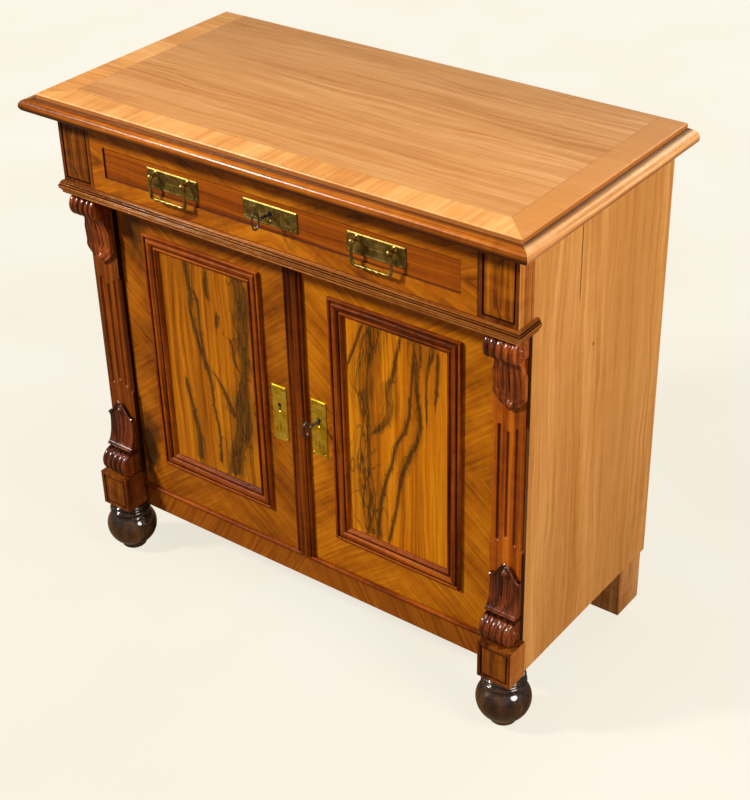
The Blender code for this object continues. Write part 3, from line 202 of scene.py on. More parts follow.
RIGHT_LINES = (
    ((1400, 6750, 14), (1274, 6430, 18), (1119, 6000, 15), (1061, 5850, 11)),
    ((1626, 6760, 97), (1507, 6370, 120), (1397, 6000, 103), (1327, 5630, 92), (1345, 5290, 82),
     (1396, 5020, 74), (1424, 4750, 79), (1367, 4370, 91), (1334, 4030, 115), (1368, 3670, 134),
     (1414, 3320, 135), (1441, 2950, 128), (1481, 2580, 129)),
    ((2162, 6750, 15), (2067, 6360, 16), (1962, 5920, 21), (1896, 5690, 55), (1903, 5350, 62),
     (1862, 5120, 55), (1702, 4850, 40), (1529, 4650, 30)),
    ((2477, 6740, 86), (2489, 6500, 76), (2458, 6260, 42), (2449, 6020, 24), (2473, 5690, 19),
     (2505, 5360, 23), (2487, 5010, 25), (2316, 4520, 33), (2164, 4100, 32), (2064, 3660, 17),
     (1992, 3220, 16), (1876, 2710, 18), (1850, 2550, 17)),
    ((2385, 6530, 12), (2357, 5990, 13), (2314, 5430, 16), (2214, 4970, 20), (2045, 4630, 21),
     (1926, 4190, 21), (1786, 3770, 21), (1692, 3320, 29), (1631, 2840, 29), (1596, 2550, 30)),
    ((2765, 6750, 51), (2744, 6580, 41), (2688, 6340, 17), (2642, 5750, 9), (2646, 5270, 7)),
    ((2867, 6690, 17), (2866, 6400, 19), (2859, 6030, 15), (2823, 5680, 10)),
)

MATERIALS = {}


def at(x, depth, z):
    return (x, BACK_Y - depth, z)


def unit(value):
    return min(1.0, max(0.0, value))


def swell(off, width):
    """1 at the middle of a soft bulge, falling to 0 on both sides."""
    return exp(-(off / width) ** 2)


def middles(values):
    return [(a + b) / 2 for a, b in zip(values, values[1:])]


def linear(colour):
    """Linear values of a colour; one with four values is linear already."""
    if len(colour) == 4:
        return colour
    parts = [value / 255 for value in colour]
    return tuple(v / 12.92 if v <= 0.04045 else ((v + 0.055) / 1.055) ** 2.4 for v in parts) + (1.0,)


def shade(colour, factor):
    return tuple(min(1.0, value * factor) for value in linear(colour)[:3]) + (1.0,)


class Value:
    """A node's output; sums with it add Math nodes to its material."""

    def __init__(self, graph, socket):
        self.graph = graph
        self.socket = socket

    def __add__(self, other):
        return self.graph.math("ADD", self, other)

    def __radd__(self, other):
        return self.graph.math("ADD", other, self)

    def __sub__(self, other):
        return self.graph.math("SUBTRACT", self, other)

    def __rsub__(self, other):
        return self.graph.math("SUBTRACT", other, self)

    def __mul__(self, other):
        return self.graph.math("MULTIPLY", self, other)

    def __truediv__(self, other):
        return self.graph.math("DIVIDE", self, other)

    def __abs__(self):
        return self.graph.math("ABSOLUTE", self)

    def rise(self, middle, soft):
        """0 below the middle and 1 above it, with a soft step."""
        return self.graph.math("DIVIDE", self - (middle - soft / 2), soft, clamp=True)

    def fall(self, middle, soft):
        return 1.0 - self.rise(middle, soft)

    def span(self, low, high, soft):
        """1 between low and high and 0 outside, with soft edges."""
        return self.rise(low, soft) - self.rise(high, soft)

    def ramp(self, colours, stops):
        node = self.graph.node("ValToRGB", {"Fac": self})
        elements = node.color_ramp.elements
        for stop in stops[1:-1]:
            elements.new(stop)
        for element, colour, stop in zip(elements, colours, stops):
            element.position = stop
            element.color = linear(colour)
        return Value(self.graph, node.outputs[0])

    def tint(self, mask, ink):
        """The colour with ink over it where the mask is 1."""
        return self.graph.mix(mask, self, ink)

    def curve(self, points):
        """A smooth line through points whose places and values lie between 0 and 1."""
        node = self.graph.node("FloatCurve", {"Value": self})
        node.mapping.extend = "HORIZONTAL"
        line = node.mapping.curves[0]
        line.points[0].location = points[0]
        line.points[1].location = points[-1]
        for point in points[1:-1]:
            line.points.new(*point)
        node.mapping.update()
        return Value(self.graph, node.outputs[0])


class Graph:
    """A material's node tree, with short calls for the nodes used here.

    place holds object coordinates x, y, z: the piece's place on the cupboard at rest.
    """

    def __init__(self, name):
        self.name = name
        self.material = bpy.data.materials.new(name)
        self.material.use_nodes = True
        self.tree = self.material.node_tree
        self.shader = self.tree.nodes["Principled BSDF"]
        separate = self.node("SeparateXYZ", {"Vector": self.value("TexCoord", output="Object")})
        self.place = tuple(Value(self, socket) for socket in separate.outputs)

    def plug(self, value, socket):
        if isinstance(value, Value):
            self.tree.links.new(value.socket, socket)
        else:
            socket.default_value = linear(value) if isinstance(value, tuple) else value

    def node(self, kind, inputs=(), **settings):
        node = self.tree.nodes.new("ShaderNode" + kind)
        for key, value in settings.items():
            setattr(node, key, value)
        for key, value in dict(inputs).items():
            self.plug(value, node.inputs[key])
        return node

    def value(self, kind, inputs=(), output=0, **settings):
        return Value(self, self.node(kind, inputs, **settings).outputs[output])

    def math(self, operation, *values, clamp=False):
        return self.value("Math", dict(enumerate(values)), operation=operation, use_clamp=clamp)

    def highest(self, a, b):
        return self.math("MAXIMUM", a, b)

    def distance(self, a, b):
        return self.math("SQRT", a * a + b * b)

    def mix(self, factor, a, b):
        """A blend of two colours."""
        return self.value("Mix", {0: factor, 6: a, 7: b}, 2, data_type="RGBA")

    def noise(self, place, *scales, detail=3.0, rough=0.55):
        """Noise at a place stretched by three scales; where there are fewer, the last serves again."""
        scales += scales[-1:] * (3 - len(scales))
        stretched = {axis: part * scale for axis, part, scale in zip("XYZ", place, scales)}
        return self.value("TexNoise", {"Vector": self.value("CombineXYZ", stretched), "Scale": 1.0,
                                       "Detail": detail, "Roughness": rough})

    def along(self, grain):
        """Coordinates along the grain and two across it.

        grain is an axis, or the centre (x, z) and the slope of four quarters that mirror each other.
        """
        x, y, z = self.place
        if isinstance(grain, str):
            return {"X": (x, z, y), "Y": (y, x, z), "Z": (z, x, y)}[grain]
        centre_x, centre_z, slope = grain
        right = abs(x - centre_x)
        up = abs(z - centre_z)
        return right * cos(slope) + up * sin(slope), up * cos(slope) - right * sin(slope), y

    def grain(self, place, streak=(6.0, 150.0), warp=0.010, figure=0.25, fine=0.16, broad=1.1, seed=0.0,
              cloud=0.0):
        """Tone from 0 (dark) to 1 (light) and a pore mask of wood that runs along the first coordinate."""
        run, across, deep = place
        run = run + seed
        slow = self.noise((run, across, deep), 3.2, 9.0, detail=2.0)
        bent = across + (slow - 0.5) * warp
        place = (run, bent, deep)
        length, width = streak
        lines = self.noise(place, length, width, detail=4.0, rough=0.62)
        wide = self.noise(place, length * 0.45, width * 0.16, detail=2.0)
        curl = self.noise(place, 70.0, 14.0, detail=2.0)
        fibres = self.noise(place, 45.0, 1100.0, detail=2.0)
        tone = (lines - 0.5) * 1.35 + (wide - 0.5) * broad + (curl - 0.5) * figure
        tone = tone + (fibres - 0.5) * fine + 0.5
        if cloud:
            drift = self.noise((run, bent, 0.0), 7.0, 15.0)
            tone = tone + (drift - 0.5) * cloud
        return tone, self.noise(place, 150.0, 2400.0, detail=1.0).rise(0.66, 0.10)

    def bump(self, height, distance, strength):
        bump = self.value("Bump", {"Height": height, "Distance": distance, "Strength": strength})
        self.plug(bump, self.shader.inputs["Normal"])

    def finish(self, colour, rough, coat=0.0, coat_rough=0.1, metal=0.0, gloss=0.22):
        settings = {"Base Color": colour, "Roughness": rough, "Metallic": metal, "Coat Weight": coat,
                    "Coat Roughness": coat_rough, "Specular IOR Level": gloss}
        for key, value in settings.items():
            self.plug(value, self.shader.inputs[key])
        MATERIALS[self.name] = self.material

    def polish(self, colour, tone, pores, dark, rough, pore=0.3, coat=0.0, coat_rough=0.1, gloss=0.22):
        """Darkens the pores, and sets the roughness and the bump that go with them."""
        self.bump(tone * 0.35 - pores, 0.00022, 0.55)
        rough = rough - 0.05 + tone * 0.10 + pores * 0.12
        self.finish(colour.tint(pores * pore, shade(dark, 0.45)), rough, coat, coat_rough, gloss=gloss)


def wood(name, tones, grain="X", streak=(6.0, 150.0), rough=0.30, coat=0.0, gloss=0.22, spread=0.16,
         patches=(), **figure):
    """Polished wood: streaks, slow colour changes, curl, fibres, pores, and torn dark areas that paint cast
    shadows and dark heartwood.
    """
    graph = Graph(name)
    tone, pores = graph.grain(graph.along(grain), streak, **figure)
    colour = tone.ramp(tones, (0.5 - spread * 1.6, 0.5, 0.5 + spread * 1.6))
    x, _, z = graph.place
    if patches:
        torn = graph.noise((x, 0.0, z), 70.0, 1.0, 30.0, detail=4.0)
    # Each area paints a console's cast shadow in near-black, with a ragged edge like heartwood figure.
    for middle_x, middle_z, half_x, half_z, strength in patches:
        off = graph.distance((x - middle_x) * (1 / half_x), (z - middle_z) * (1 / half_z))
        near = (off + (torn - 0.5) * 1.5).fall(0.75, 0.7)
        colour = colour.tint(near * strength, (34, 24, 9))
    graph.polish(colour, tone, pores, tones[0], rough, 0.35, coat, 0.14, gloss)


def top_material():
    """Horizontal field inside crossbands that meet in mitres, cut in short lengths of differing tone."""
    graph = Graph("top_veneer_fine")
    x, y, z = graph.place
    side = BOARD_X - abs(x)
    front = y + (BOARD_D - BACK_Y)
    nearest = graph.math("MINIMUM", side, front)
    on_side = (front - side).rise(0.0, 0.0004)
    tone, pores = graph.grain((x, y, z), (3.2, 110.0), warp=0.05, figure=0.12, broad=0.6)
    cloud = graph.noise((x, y, 0.0), 1.6, 3.0, detail=2.0)
    field = tone.ramp(TOP, (0.2, 0.5, 0.8)).tint(cloud.rise(0.55, 0.35) * 0.35, shade(TOP[1], 0.82))
    front_tone, front_pores = graph.grain((y, x, z), (7.0, 130.0), warp=0.012, seed=3.0)
    side_tone, side_pores = graph.grain((x, y, z), (7.0, 130.0), warp=0.012, seed=7.0)
    band_tone = graph.value("Mix", {"Factor": on_side, "A": front_tone, "B": side_tone})
    run = graph.value("Mix", {"Factor": on_side, "A": x + 0.52, "B": y + 1.9}) * 7.1
    change = graph.value("TexWhiteNoise", {"W": graph.math("FLOOR", run)}, noise_dimensions="1D")
    banding = (band_tone + (change - 0.5) * 0.32).ramp(BAND, (0.15, 0.5, 0.85))
    # Painted shade: the right crossband is darker than the front one.
    banding = banding.tint(on_side * x.rise(0.0, 0.1) * 0.8, shade(BAND[0], 0.95))
    joint = graph.math("GREATER_THAN", abs(graph.math("FRACT", run) - 0.5), 0.4965)
    banding = banding.tint(joint * 0.45, shade(BAND[0], 0.5))
    seam = nearest.span(BAND_W - 0.0006, BAND_W + 0.0006, 0.0006)
    colour = field.tint(nearest.fall(BAND_W, 0.0004), banding).tint(seam * 0.55, shade(TOP[0], 0.55))
    colour = colour.tint(z.fall(TOP_Z - 0.0022, 0.0012) * 0.85, (160, 90, 34))
    pores = pores * 0.6 + front_pores * 0.2 + side_pores * 0.2
    graph.polish(colour, tone, pores, TOP[0], 0.30, 0.22, 0.08, 0.12, 0.25)


def drawer_material():
    """Quartered border with a sunk reddish field in the middle of the drawer front."""
    graph = Graph("drawer_veneer")
    x, y, z = graph.place
    quarters = graph.along((0.0, sum(DRAWER_Z) / 2, radians(24)))
    tone, pores = graph.grain(quarters, (5.0, 60.0), warp=0.02, figure=0.3)
    field_tone, field_pores = graph.grain((x, z, y), (3.0, 150.0), warp=0.03, figure=0.2, seed=5.0)
    field = field_tone.ramp(((116, 50, 3), (152, 74, 5), (178, 92, 10)), (0.2, 0.5, 0.8))
    up = (RECESS_Z[1] - RECESS_Z[0]) / 2 - abs(z - sum(RECESS_Z) / 2)
    inside = graph.math("MINIMUM", RECESS_X - abs(x), up)
    colour = tone.ramp(GOLD, (0.2, 0.5, 0.8)).tint(inside.rise(0.0, 0.0004), field)
    colour = colour.tint(inside.span(-0.0004, 0.0022, 0.0008) * 0.7, (52, 18, 6))
    rim = (DRAWER_X - 0.0012 - abs(x)).fall(0.0, 0.0008)
    colour = colour.tint(rim * 0.6, (60, 24, 8))
    graph.polish(colour, tone, pores * 0.5 + field_pores * 0.5, GOLD[0], 0.32)


def side_material(name, crack):
    """Side panel: straight upright grain; the right one has a fine crack and a pin knot."""
    graph = Graph(name)
    x, y, z = graph.place
    tone, pores = graph.grain((z, y, x), (3.0, 100.0), warp=0.05, figure=0.16, fine=0.3, broad=0.5)
    boards = graph.noise((0.0, y, z), 1.0, 9.0, 0.6, detail=1.0)
    colour = tone.ramp(SIDE, (0.10, 0.5, 0.90)).tint(boards.rise(0.52, 0.16) * 0.35, shade(SIDE[0], 0.95))
    if crack:
        wander = graph.noise((0.0, 0.0, z), 22.0)
        near = abs(y - (BACK_Y - 0.2867 + (wander - 0.5) * 0.004))
        slit = near.fall(0.0014, 0.0012) * z.span(0.762, 0.90, 0.03)
        knot = graph.distance(y - (BACK_Y - 0.2363), (z - 0.660) * 0.7).fall(0.0026, 0.0020)
        colour = colour.tint(slit * 0.85, (60, 28, 10)).tint(knot * 0.8, (84, 44, 16))
    # Painted shade: the front edge beside the shaft is darkened as a shadow line.
    painted_edge_shade = (BACK_Y - SIDE_D + 0.0006 - y).rise(0.0, 0.0004)
    graph.polish(colour.tint(painted_edge_shade * 0.8, (44, 16, 6)), tone, pores, SIDE[0], 0.42, gloss=0.15)


def panel_material(name, side, lines, tones, ink, solid):
    """Figured veneer: golden ground with a dark branching figure, its broad strands solid by that much."""
    graph = Graph(name)
    x, y, z = graph.place
    left = min(side * edge for edge in PANEL_X) - 0.02
    width = PANEL_X[1] - PANEL_X[0] + 0.04
    low = PANEL_Z[0] - 0.01
    height = PANEL_Z[1] - PANEL_Z[0] + 0.02
    thickest = 0.02
    down = (z - low) / height
    tone, pores = graph.grain((z, x, y), (2.6, 150.0), warp=0.035, figure=0.08, broad=0.9, seed=side * 2.0)
    place = x + (graph.noise((x, 0.0, z), 26.0, 1.0, 12.0) - 0.5) * 0.009
    strands = graph.noise((place, 0.0, z), 330.0, 1.0, 17.0, detail=4.0, rough=0.65)
    grains = graph.noise((x, 0.0, z), 700.0, 1.0, 110.0, detail=2.0)
    nearness = -9.0
    breadth = 0.0
    for line in lines:
        points = sorted(((z0 / 10000 - low) / height, (x0 / 10000 - left) / width, half / 10000 / thickest)
                        for x0, z0, half in line)
        centre = down.curve([(place_down, middle) for place_down, middle, _ in points]) * width + left
        half = down.curve([(place_down, thick) for place_down, _, thick in points]) * thickest + 0.0006
        ends = down.span(points[0][0] - 0.012, points[-1][0] + 0.012, 0.05)
        inside = ends * 3.0 - (abs(place - centre) / half + 2.0)
        nearness = graph.highest(nearness, inside)
        breadth = graph.highest(breadth, half.rise(0.006, 0.003) * inside.rise(-0.6, 0.6))
    ground = 0.60 - breadth * (0.60 - 1.1 * solid)
    colour = tone.ramp(tones, (0.18, 0.5, 0.82)).tint(nearness.rise(-0.9, 2.6) * ground, (88, 58, 14))
    rough_edge = (strands - 0.5) * 4.4 + (grains - 0.5) * 1.6
    core = (graph.math("MINIMUM", nearness, 0.5) * 1.2 + rough_edge).rise(0.16, 0.30)
    rim = abs(nearness + (strands - 0.5) * 0.9).fall(0.14, 0.10)
    figure = graph.noise((place, side * 3.0, z), 11.0, 1.0, 3.2)
    thin = abs(graph.math("FRACT", figure * 15.0) - 0.5).fall(0.075, 0.05)
    thin = thin * (nearness.rise(-1.5, 2.6) * strands.rise(0.38, 0.16))
    cells = graph.noise((place, side * 5.0, z), 105.0, 1.0, 13.0)
    veins = abs(cells - 0.5).fall(0.042, 0.035) * (breadth * nearness.rise(-0.3, 1.0))
    mask = graph.highest(core * (0.72 - breadth * (0.72 - solid)), rim * 0.6)
    mask = graph.highest(graph.highest(mask, thin * 0.7), veins * 0.85)
    graph.polish(colour.tint(mask, ink), tone, pores, tones[0], 0.26)


def brass_material(name, tones, rough):
    """Old brass with tarnish in clouds and spots."""
    graph = Graph(name)
    cloud = graph.noise(graph.place, 60.0, detail=5.0)
    spots = graph.noise(graph.place, 420.0, detail=2.0)
    colour = cloud.ramp(tones, (0.3, 0.5, 0.72)).tint(spots.rise(0.62, 0.16) * 0.4, shade(tones[0], 0.4))
    graph.bump(cloud + spots * 0.5, 0.00012, 0.5)
    graph.finish(colour, rough + cloud * 0.16 + spots * 0.08, metal=0.92)


def iron_material():
    graph = Graph("dark_iron")
    cloud = graph.noise(graph.place, 90.0, detail=5.0)
    spots = graph.noise(graph.place, 700.0, detail=2.0)
    colour = cloud.ramp(IRON, (0.3, 0.55, 0.75)).tint(spots.rise(0.6, 0.2) * 0.35, (74, 44, 26))
    graph.bump(cloud + spots * 0.4, 0.00015, 0.5)
    graph.finish(colour, 0.32 + cloud * 0.25, metal=0.85)


def keyhole_shade_material():
    """Painted shade of a keyhole's inside: dark, faintly dusty."""
    graph = Graph("keyhole_shade")
    dust = graph.noise(graph.place, 300.0)
    graph.finish(dust.ramp(((16, 11, 7), (44, 32, 18)), (0.35, 0.65)), 0.8)


def nose_material(name, grain, tones, shaded):
    """The top's moulding: polished, with a dark line under the slab and a shaded lower half."""
    graph = Graph(name)
    z = graph.place[2]
    tone, pores = graph.grain(graph.along(grain), (3.0, 160.0), broad=0.8)
    # Painted shade: the lower half of the round nose is darkened, by the amount given in shaded.
    under = z.fall(EDGE_Z - 1.10 * NOSE_R, 0.7 * NOSE_R)
    seat = z.rise(EDGE_Z - 0.0007, 0.0008)
    colour = tone.ramp(tones, (0.22, 0.5, 0.78)).tint(under * shaded, (62, 24, 5))
    colour = colour.tint(seat * 0.8, (50, 20, 6))
    graph.polish(colour, tone, pores, tones[0], 0.22, 0.3, 0.04, 0.12, 0.18)


def reed_material(name, grain):
    """The waist moulding: polished reeds with painted shade along the grooves between them."""
    graph = Graph(name)
    tone, pores = graph.grain(graph.along(grain), (4.0, 220.0), broad=0.8)
    colour = tone.ramp(((100, 50, 14), (152, 86, 28), (198, 128, 58)), (0.22, 0.5, 0.78))
    up = graph.place[2] - WAIST_Z
    # Painted shade: a dark line along each groove.
    for groove in REED_GROOVES:
        colour = colour.tint(abs(up - groove).fall(0.0007, 0.0006) * 0.85, (34, 12, 4))
    graph.polish(colour, tone, pores, (84, 40, 10), 0.16, gloss=0.18)


def foot_material():
    """Turned dark wood, with fine rings left by the turning and a darker neck."""
    graph = Graph("foot_wood")
    z = graph.place[2]
    tone, pores = graph.grain(graph.along("Z"), (12.0, 60.0))
    tone = tone + (graph.noise((0.0, 0.0, z), 900.0, detail=2.0) - 0.5) * 0.5
    colour = tone.ramp(BLACK_WOOD, (0.22, 0.5, 0.78))
    colour = colour.tint(z.rise(BALL_Z + 0.020, 0.030) * 0.6, shade(BLACK_WOOD[0], 0.8))
    graph.polish(colour, tone, pores, BLACK_WOOD[0], 0.14, 0.2, 0.7, 0.06, 0.5)


def woods():
    """The plain woods: name, tones, grain, streaks and what differs from the usual finish."""
    wood("red_walnut_x", RED, "X", (4.0, 190.0), rough=0.34, gloss=0.06)
    wood("red_walnut_z", RED, "Z", (4.0, 190.0), rough=0.22, gloss=0.16)
    wood("meeting_walnut", [shade(tone, 0.6) for tone in RED], "Z", (4.0, 190.0), rough=0.24, gloss=0.12)
    for name, tones in (("carved_walnut", ((68, 23, 4), (128, 55, 11), (174, 87, 25))),
                        ("carved_walnut_low", ((42, 12, 4), (84, 32, 8), (122, 54, 16)))):
        wood(name, tones, "Z", (5.0, 160.0), rough=0.18, gloss=0.55)
    # The left shaft's walnut is a darker copy of the right one's: painted shade for the light falling off
    # towards the left.
    for name, tones in (("shaft_walnut_left", ((72, 28, 4), (115, 53, 7), (147, 77, 15))),
                        ("shaft_walnut_right", ((102, 42, 5), (160, 76, 10), (198, 108, 20)))):
        wood(name, tones, "Z", (2.5, 150.0), figure=0.20, broad=0.8)
    # Painted shade in the flutes: a walnut darker than the right shaft's.
    wood("flute_shade_walnut", ((84, 34, 4), (134, 61, 8), (168, 88, 15)), "Z", (2.5, 150.0))
    # Painted shade: a near-black walnut for the shaded sides of the shafts, the grooves of the blocks and
    # door mouldings, and the groove under the lower consoles' ledges.
    wood("painted_shade_walnut", ((26, 9, 3), (50, 20, 6), (76, 34, 10)), "Z", (2.5, 150.0), rough=0.40,
         gloss=0.05)
    # The right top block's veneer is a lighter copy, painted light; the darker copy paints shade on the left
    # top block and also serves the base blocks.
    for name, tones in (("block_veneer_lit", ((100, 48, 5), (156, 84, 9), (198, 118, 18))),
                        ("block_veneer_dark", ((64, 28, 4), (112, 56, 8), (148, 82, 15)))):
        wood(name, tones, "Z", (5.0, 140.0), figure=0.4, broad=0.8)
    wood("block_side_walnut", ((132, 70, 20), (172, 102, 38), (204, 138, 66)), "Z", (3.0, 150.0), broad=0.8)
    wood("block_frame", ((62, 24, 5), (100, 46, 9), (138, 74, 18)), "Z", (5.0, 150.0))
    wood("apron_veneer", DARK_GOLD, (0.0, 0.30, radians(62)), figure=0.2, broad=0.35, spread=0.3)
    wood("rail_veneer", GOLD, "X", (4.0, 120.0), figure=0.4)
    wood("rear_foot_wood", ((146, 88, 38), (184, 124, 66), (206, 150, 90)), "Z", (4.0, 120.0), rough=0.5,
         coat=0.1)
    for axis in "XY":
        wood("pine_" + axis.lower(), PINE, axis, (1.6, 90.0), warp=0.04, broad=0.45, spread=0.24, rough=0.55)
    middle_x, middle_z = DOOR_CENTRE
    door = {"warp": 0.02, "figure": 0.30, "broad": 0.9, "spread": 0.25}
    # The left door's veneer is a darker copy of the right one's: painted shade for the light falling off
    # towards the left.
    wood("door_veneer_left", ((98, 47, 2), (146, 77, 4), (180, 104, 11)), (-middle_x, middle_z, radians(38)),
         cloud=1.6, patches=LEFT_PAINTED_SHADOWS, **door)
    wood("door_veneer_right", ((122, 61, 2), (174, 97, 4), (206, 127, 11)), (middle_x, middle_z, radians(38)),
         cloud=1.3, **door)


def materials():
    woods()
    top_material()
    drawer_material()
    # Lit and shaded copies of the top's moulding, each with painted shade on its lower half.
    nose_material("nose_walnut", "X", FRONT_NOSE_SHADED, 1.0)
    nose_material("walnut_nose_side_lit", "Y", NOSE, 0.35)
    reed_material("reeded_walnut_x", "X")
    reed_material("reeded_walnut_y", "Y")
    foot_material()
    side_material("side_walnut_left", False)
    side_material("side_walnut_right", True)
    # The left panel's ground is darker than the right one's: painted shade for the light falling off towards
    # the left.
    panel_material("figured_left", -1, LEFT_LINES, ((118, 62, 3), (172, 98, 6), (208, 130, 16)),
                   (46, 31, 11), 0.52)
    panel_material("figured_right", 1, RIGHT_LINES, ((142, 75, 3), (196, 112, 5), (226, 145, 16)),
                   (52, 32, 7), 0.24)
    brass_material("old_brass", ((132, 104, 38), (186, 152, 64), (222, 192, 108)), 0.18)
    # Painted reflection: the drawer's brass is darker than the other brass, standing in for the dark room it
    # reflects; the bails share it.
    brass_material("old_brass_reflecting_dark", ((88, 77, 36), (136, 118, 58), (182, 160, 92)), 0.30)
    brass_material("old_brass_door", ((190, 160, 30), (232, 200, 50), (250, 226, 100)), 0.24)
    iron_material()
    keyhole_shade_material()


class Shape:
    """Points and faces of one piece, each face with its material's number."""

    def __init__(self):
        self.points = []
        self.faces = []
        self.slots = []

    def ring(self, points):
        start = len(self.points)
        self.points.extend(points)
        return list(range(start, len(self.points)))

    def face(self, corners, slot=0):
        self.faces.append(tuple(corners))
        self.slots.append(slot)

    def bridge(self, first, second, slots=0):
        """Joins two closed rings; slots is one number, or a list with one for each face."""
        for k in range(len(first)):
            other = (k + 1) % len(first)
            slot = slots[k] if isinstance(slots, list) else slots
            self.face((first[k], first[other], second[other], second[k]), slot)

    def join(self, other, slot=None):
        """Adds another shape, all in one material where a slot is given."""
        start = len(self.points)
        self.points.extend(other.points)
        for corners, number in zip(other.faces, other.slots):
            self.face([start + corner for corner in corners], number if slot is None else slot)


def loft(rings, slots=lambda gap: 0, joined=False):
    """Skins rings of equal length; slots gives what bridge needs for each gap between them."""
    shape = Shape()
    loops = [shape.ring(ring) for ring in rings]
    following = loops[1:] + loops[:1] if joined else loops[1:]
    for gap, (first, second) in enumerate(zip(loops, following)):
        shape.bridge(first, second, slots(gap))
    if not joined:
        shape.face(loops[0][::-1])
        shape.face(loops[-1])
    return shape


def put(name, data):
    thing = bpy.data.objects.new(name, data)
    bpy.context.scene.collection.objects.link(thing)
    return thing


def build(name, shape, node, materials, body="case", angle=32):
    """Makes the piece, turns its faces outwards, smooths it by angle and hangs it on its body."""
    mesh = bpy.data.meshes.new(name)
    mesh.from_pydata(shape.points, [], shape.faces)
    for key in materials:
        mesh.materials.append(MATERIALS[key])
    for polygon, number in zip(mesh.polygons, shape.slots):
        polygon.material_index = number
    work = bmesh.new()
    work.from_mesh(mesh)
    bmesh.ops.remove_doubles(work, verts=work.verts, dist=0.000005)
    bmesh.ops.dissolve_degenerate(work, edges=work.edges, dist=0.000002)
    bmesh.ops.recalc_face_normals(work, faces=work.faces)
    work.to_mesh(mesh)
    work.free()
    mesh.shade_smooth()
    mesh.set_sharp_from_angle(angle=radians(angle))
    piece = put(name, mesh)
    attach(piece, body)
    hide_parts(node)


def arc(centre, radius, first, last, steps):
    """Points of an arc; angles in turns."""
    turns = [2 * pi * (first + (last - first) * k / steps) for k in range(steps + 1)]
    return [(centre[0] + radius * cos(t), centre[1] + radius * sin(t)) for t in turns]


def smooth_line(points, steps):
    """A rounded line through points."""
    line = []
    for k in range(len(points) - 1):
        near = (points[max(k - 1, 0)], points[k], points[k + 1], points[min(k + 2, len(points) - 1)])
        for t in (step / steps for step in range(steps)):
            line.append(tuple(
                0.5 * (2 * b + (c - a) * t + (2 * a - 5 * b + 4 * c - d) * t * t
                       + (3 * b - a - 3 * c + d) * t ** 3)
                for a, b, c, d in zip(*near)))
    line.append(tuple(points[-1]))
    return line


def lathe(profile, centre, axis, segments):
    """Turns (radius, distance) points round an axis through centre; along Y they run forwards."""
    rings = []
    for radius, along in profile:
        radius = max(radius, 0.00002)
        ring = []
        for angle in (2 * pi * k / segments for k in range(segments)):
            a, b = radius * cos(angle), radius * sin(angle)
            offset = {"Z": (a, b, along), "Y": (a, -along, b), "X": (along, a, b)}[axis]
            ring.append(tuple(c + o for c, o in zip(centre, offset)))
        rings.append(ring)
    return loft(rings)


def pipe(points, radii, sides, closed=False):
    """A round bar along a line of points, with a radius at each."""
    line = [Vector(p) for p in points]
    last = len(line) - 1
    rings = []
    normal = None
    for k, (point, radius) in enumerate(zip(line, radii)):
        before = line[k - 1] if k or closed else point
        after = line[(k + 1) % len(line)] if k < last or closed else point
        tangent = (after - before).normalized()
        if normal is None:
            normal = tangent.orthogonal().normalized()
        normal = (normal - tangent * normal.dot(tangent)).normalized()
        other = tangent.cross(normal)
        angles = [2 * pi * j / sides for j in range(sides)]
        rings.append([tuple(point + radius * (cos(a) * normal + sin(a) * other)) for a in angles])
    return loft(rings, joined=closed)


def top_slab():
    """The top's slab: a square edge with two thin lines and a softly rounded upper rim."""
    steps = [(0.0012, BOARD_Z), (0.0, BOARD_Z + 0.0012), (0.0, EDGE_Z + 0.0012), (0.0006, EDGE_Z + 0.0016),
             (0.0006, EDGE_Z + 0.0021), (0.0, EDGE_Z + 0.0025), (0.0, TOP_Z - RIM_R)]
    for angle in (pi / 10 * k for k in range(1, 6)):
        steps.append((RIM_R - RIM_R * cos(angle), TOP_Z - RIM_R + RIM_R * sin(angle)))
    rings = []
    for inset, z in steps:
        x, back, front = BOARD_X - inset, inset * 0.3, BOARD_D - inset
        rings.append([at(-x, back, z), at(x, back, z), at(x, front, z), at(-x, front, z)])
    build("top_slab", loft(rings), "top_board", ["top_veneer_fine"])


def nose_section(seat):
    """Section of the top's moulding, out from the slab's edge: seat, round nose and hollow."""
    nose_z = EDGE_Z - NOSE_R - 0.0010
    low = nose_z - NOSE_R
    section = [(-seat, MOULDING_Z), (-seat, BOARD_Z - GAP), (GAP, BOARD_Z - GAP), (GAP, EDGE_Z - 0.0006),
               (0.0012, EDGE_Z)]
    section += arc((NOSE_OVER - NOSE_R, nose_z), NOSE_R, 0.24, -0.24, 22)
    section += [(0.0085, low + 0.0002), (0.0078, low - 0.0012), (0.0050, low - 0.0016)]
    section += smooth_line([(0.0050, low - 0.0016), (-0.0010, low - 0.0030), (-0.0062, low - 0.0070),
                            (-0.0088, MOULDING_Z + 0.0042)], 5)[1:]
    return section + [(-0.0105, MOULDING_Z + 0.0036), (-0.0108, MOULDING_Z + 0.0014), (-0.0140, MOULDING_Z)]


def top_mouldings():
    """The round mouldings under the slab, mitred at the front corners."""
    rings = [[at(side * (BOARD_X - GAP + max(out, -SIDE_SEAT)), BOARD_D + out, z)
              for out, z in nose_section(FRONT_SEAT)] for side, word in SIDES]
    build("front_nose", loft(rings), "top_moulding_front", ["nose_walnut"])
    section = nose_section(SIDE_SEAT)
    for side, word in SIDES:
        back = [at(side * (BOARD_X + out), 0.0, z) for out, z in section]
        front = [at(side * (BOARD_X + out), BOARD_D - GAP + out, z) for out, z in section]
        build("nose_" + word, loft([back, front]), "top_moulding_" + word, ["walnut_nose_side_lit"])


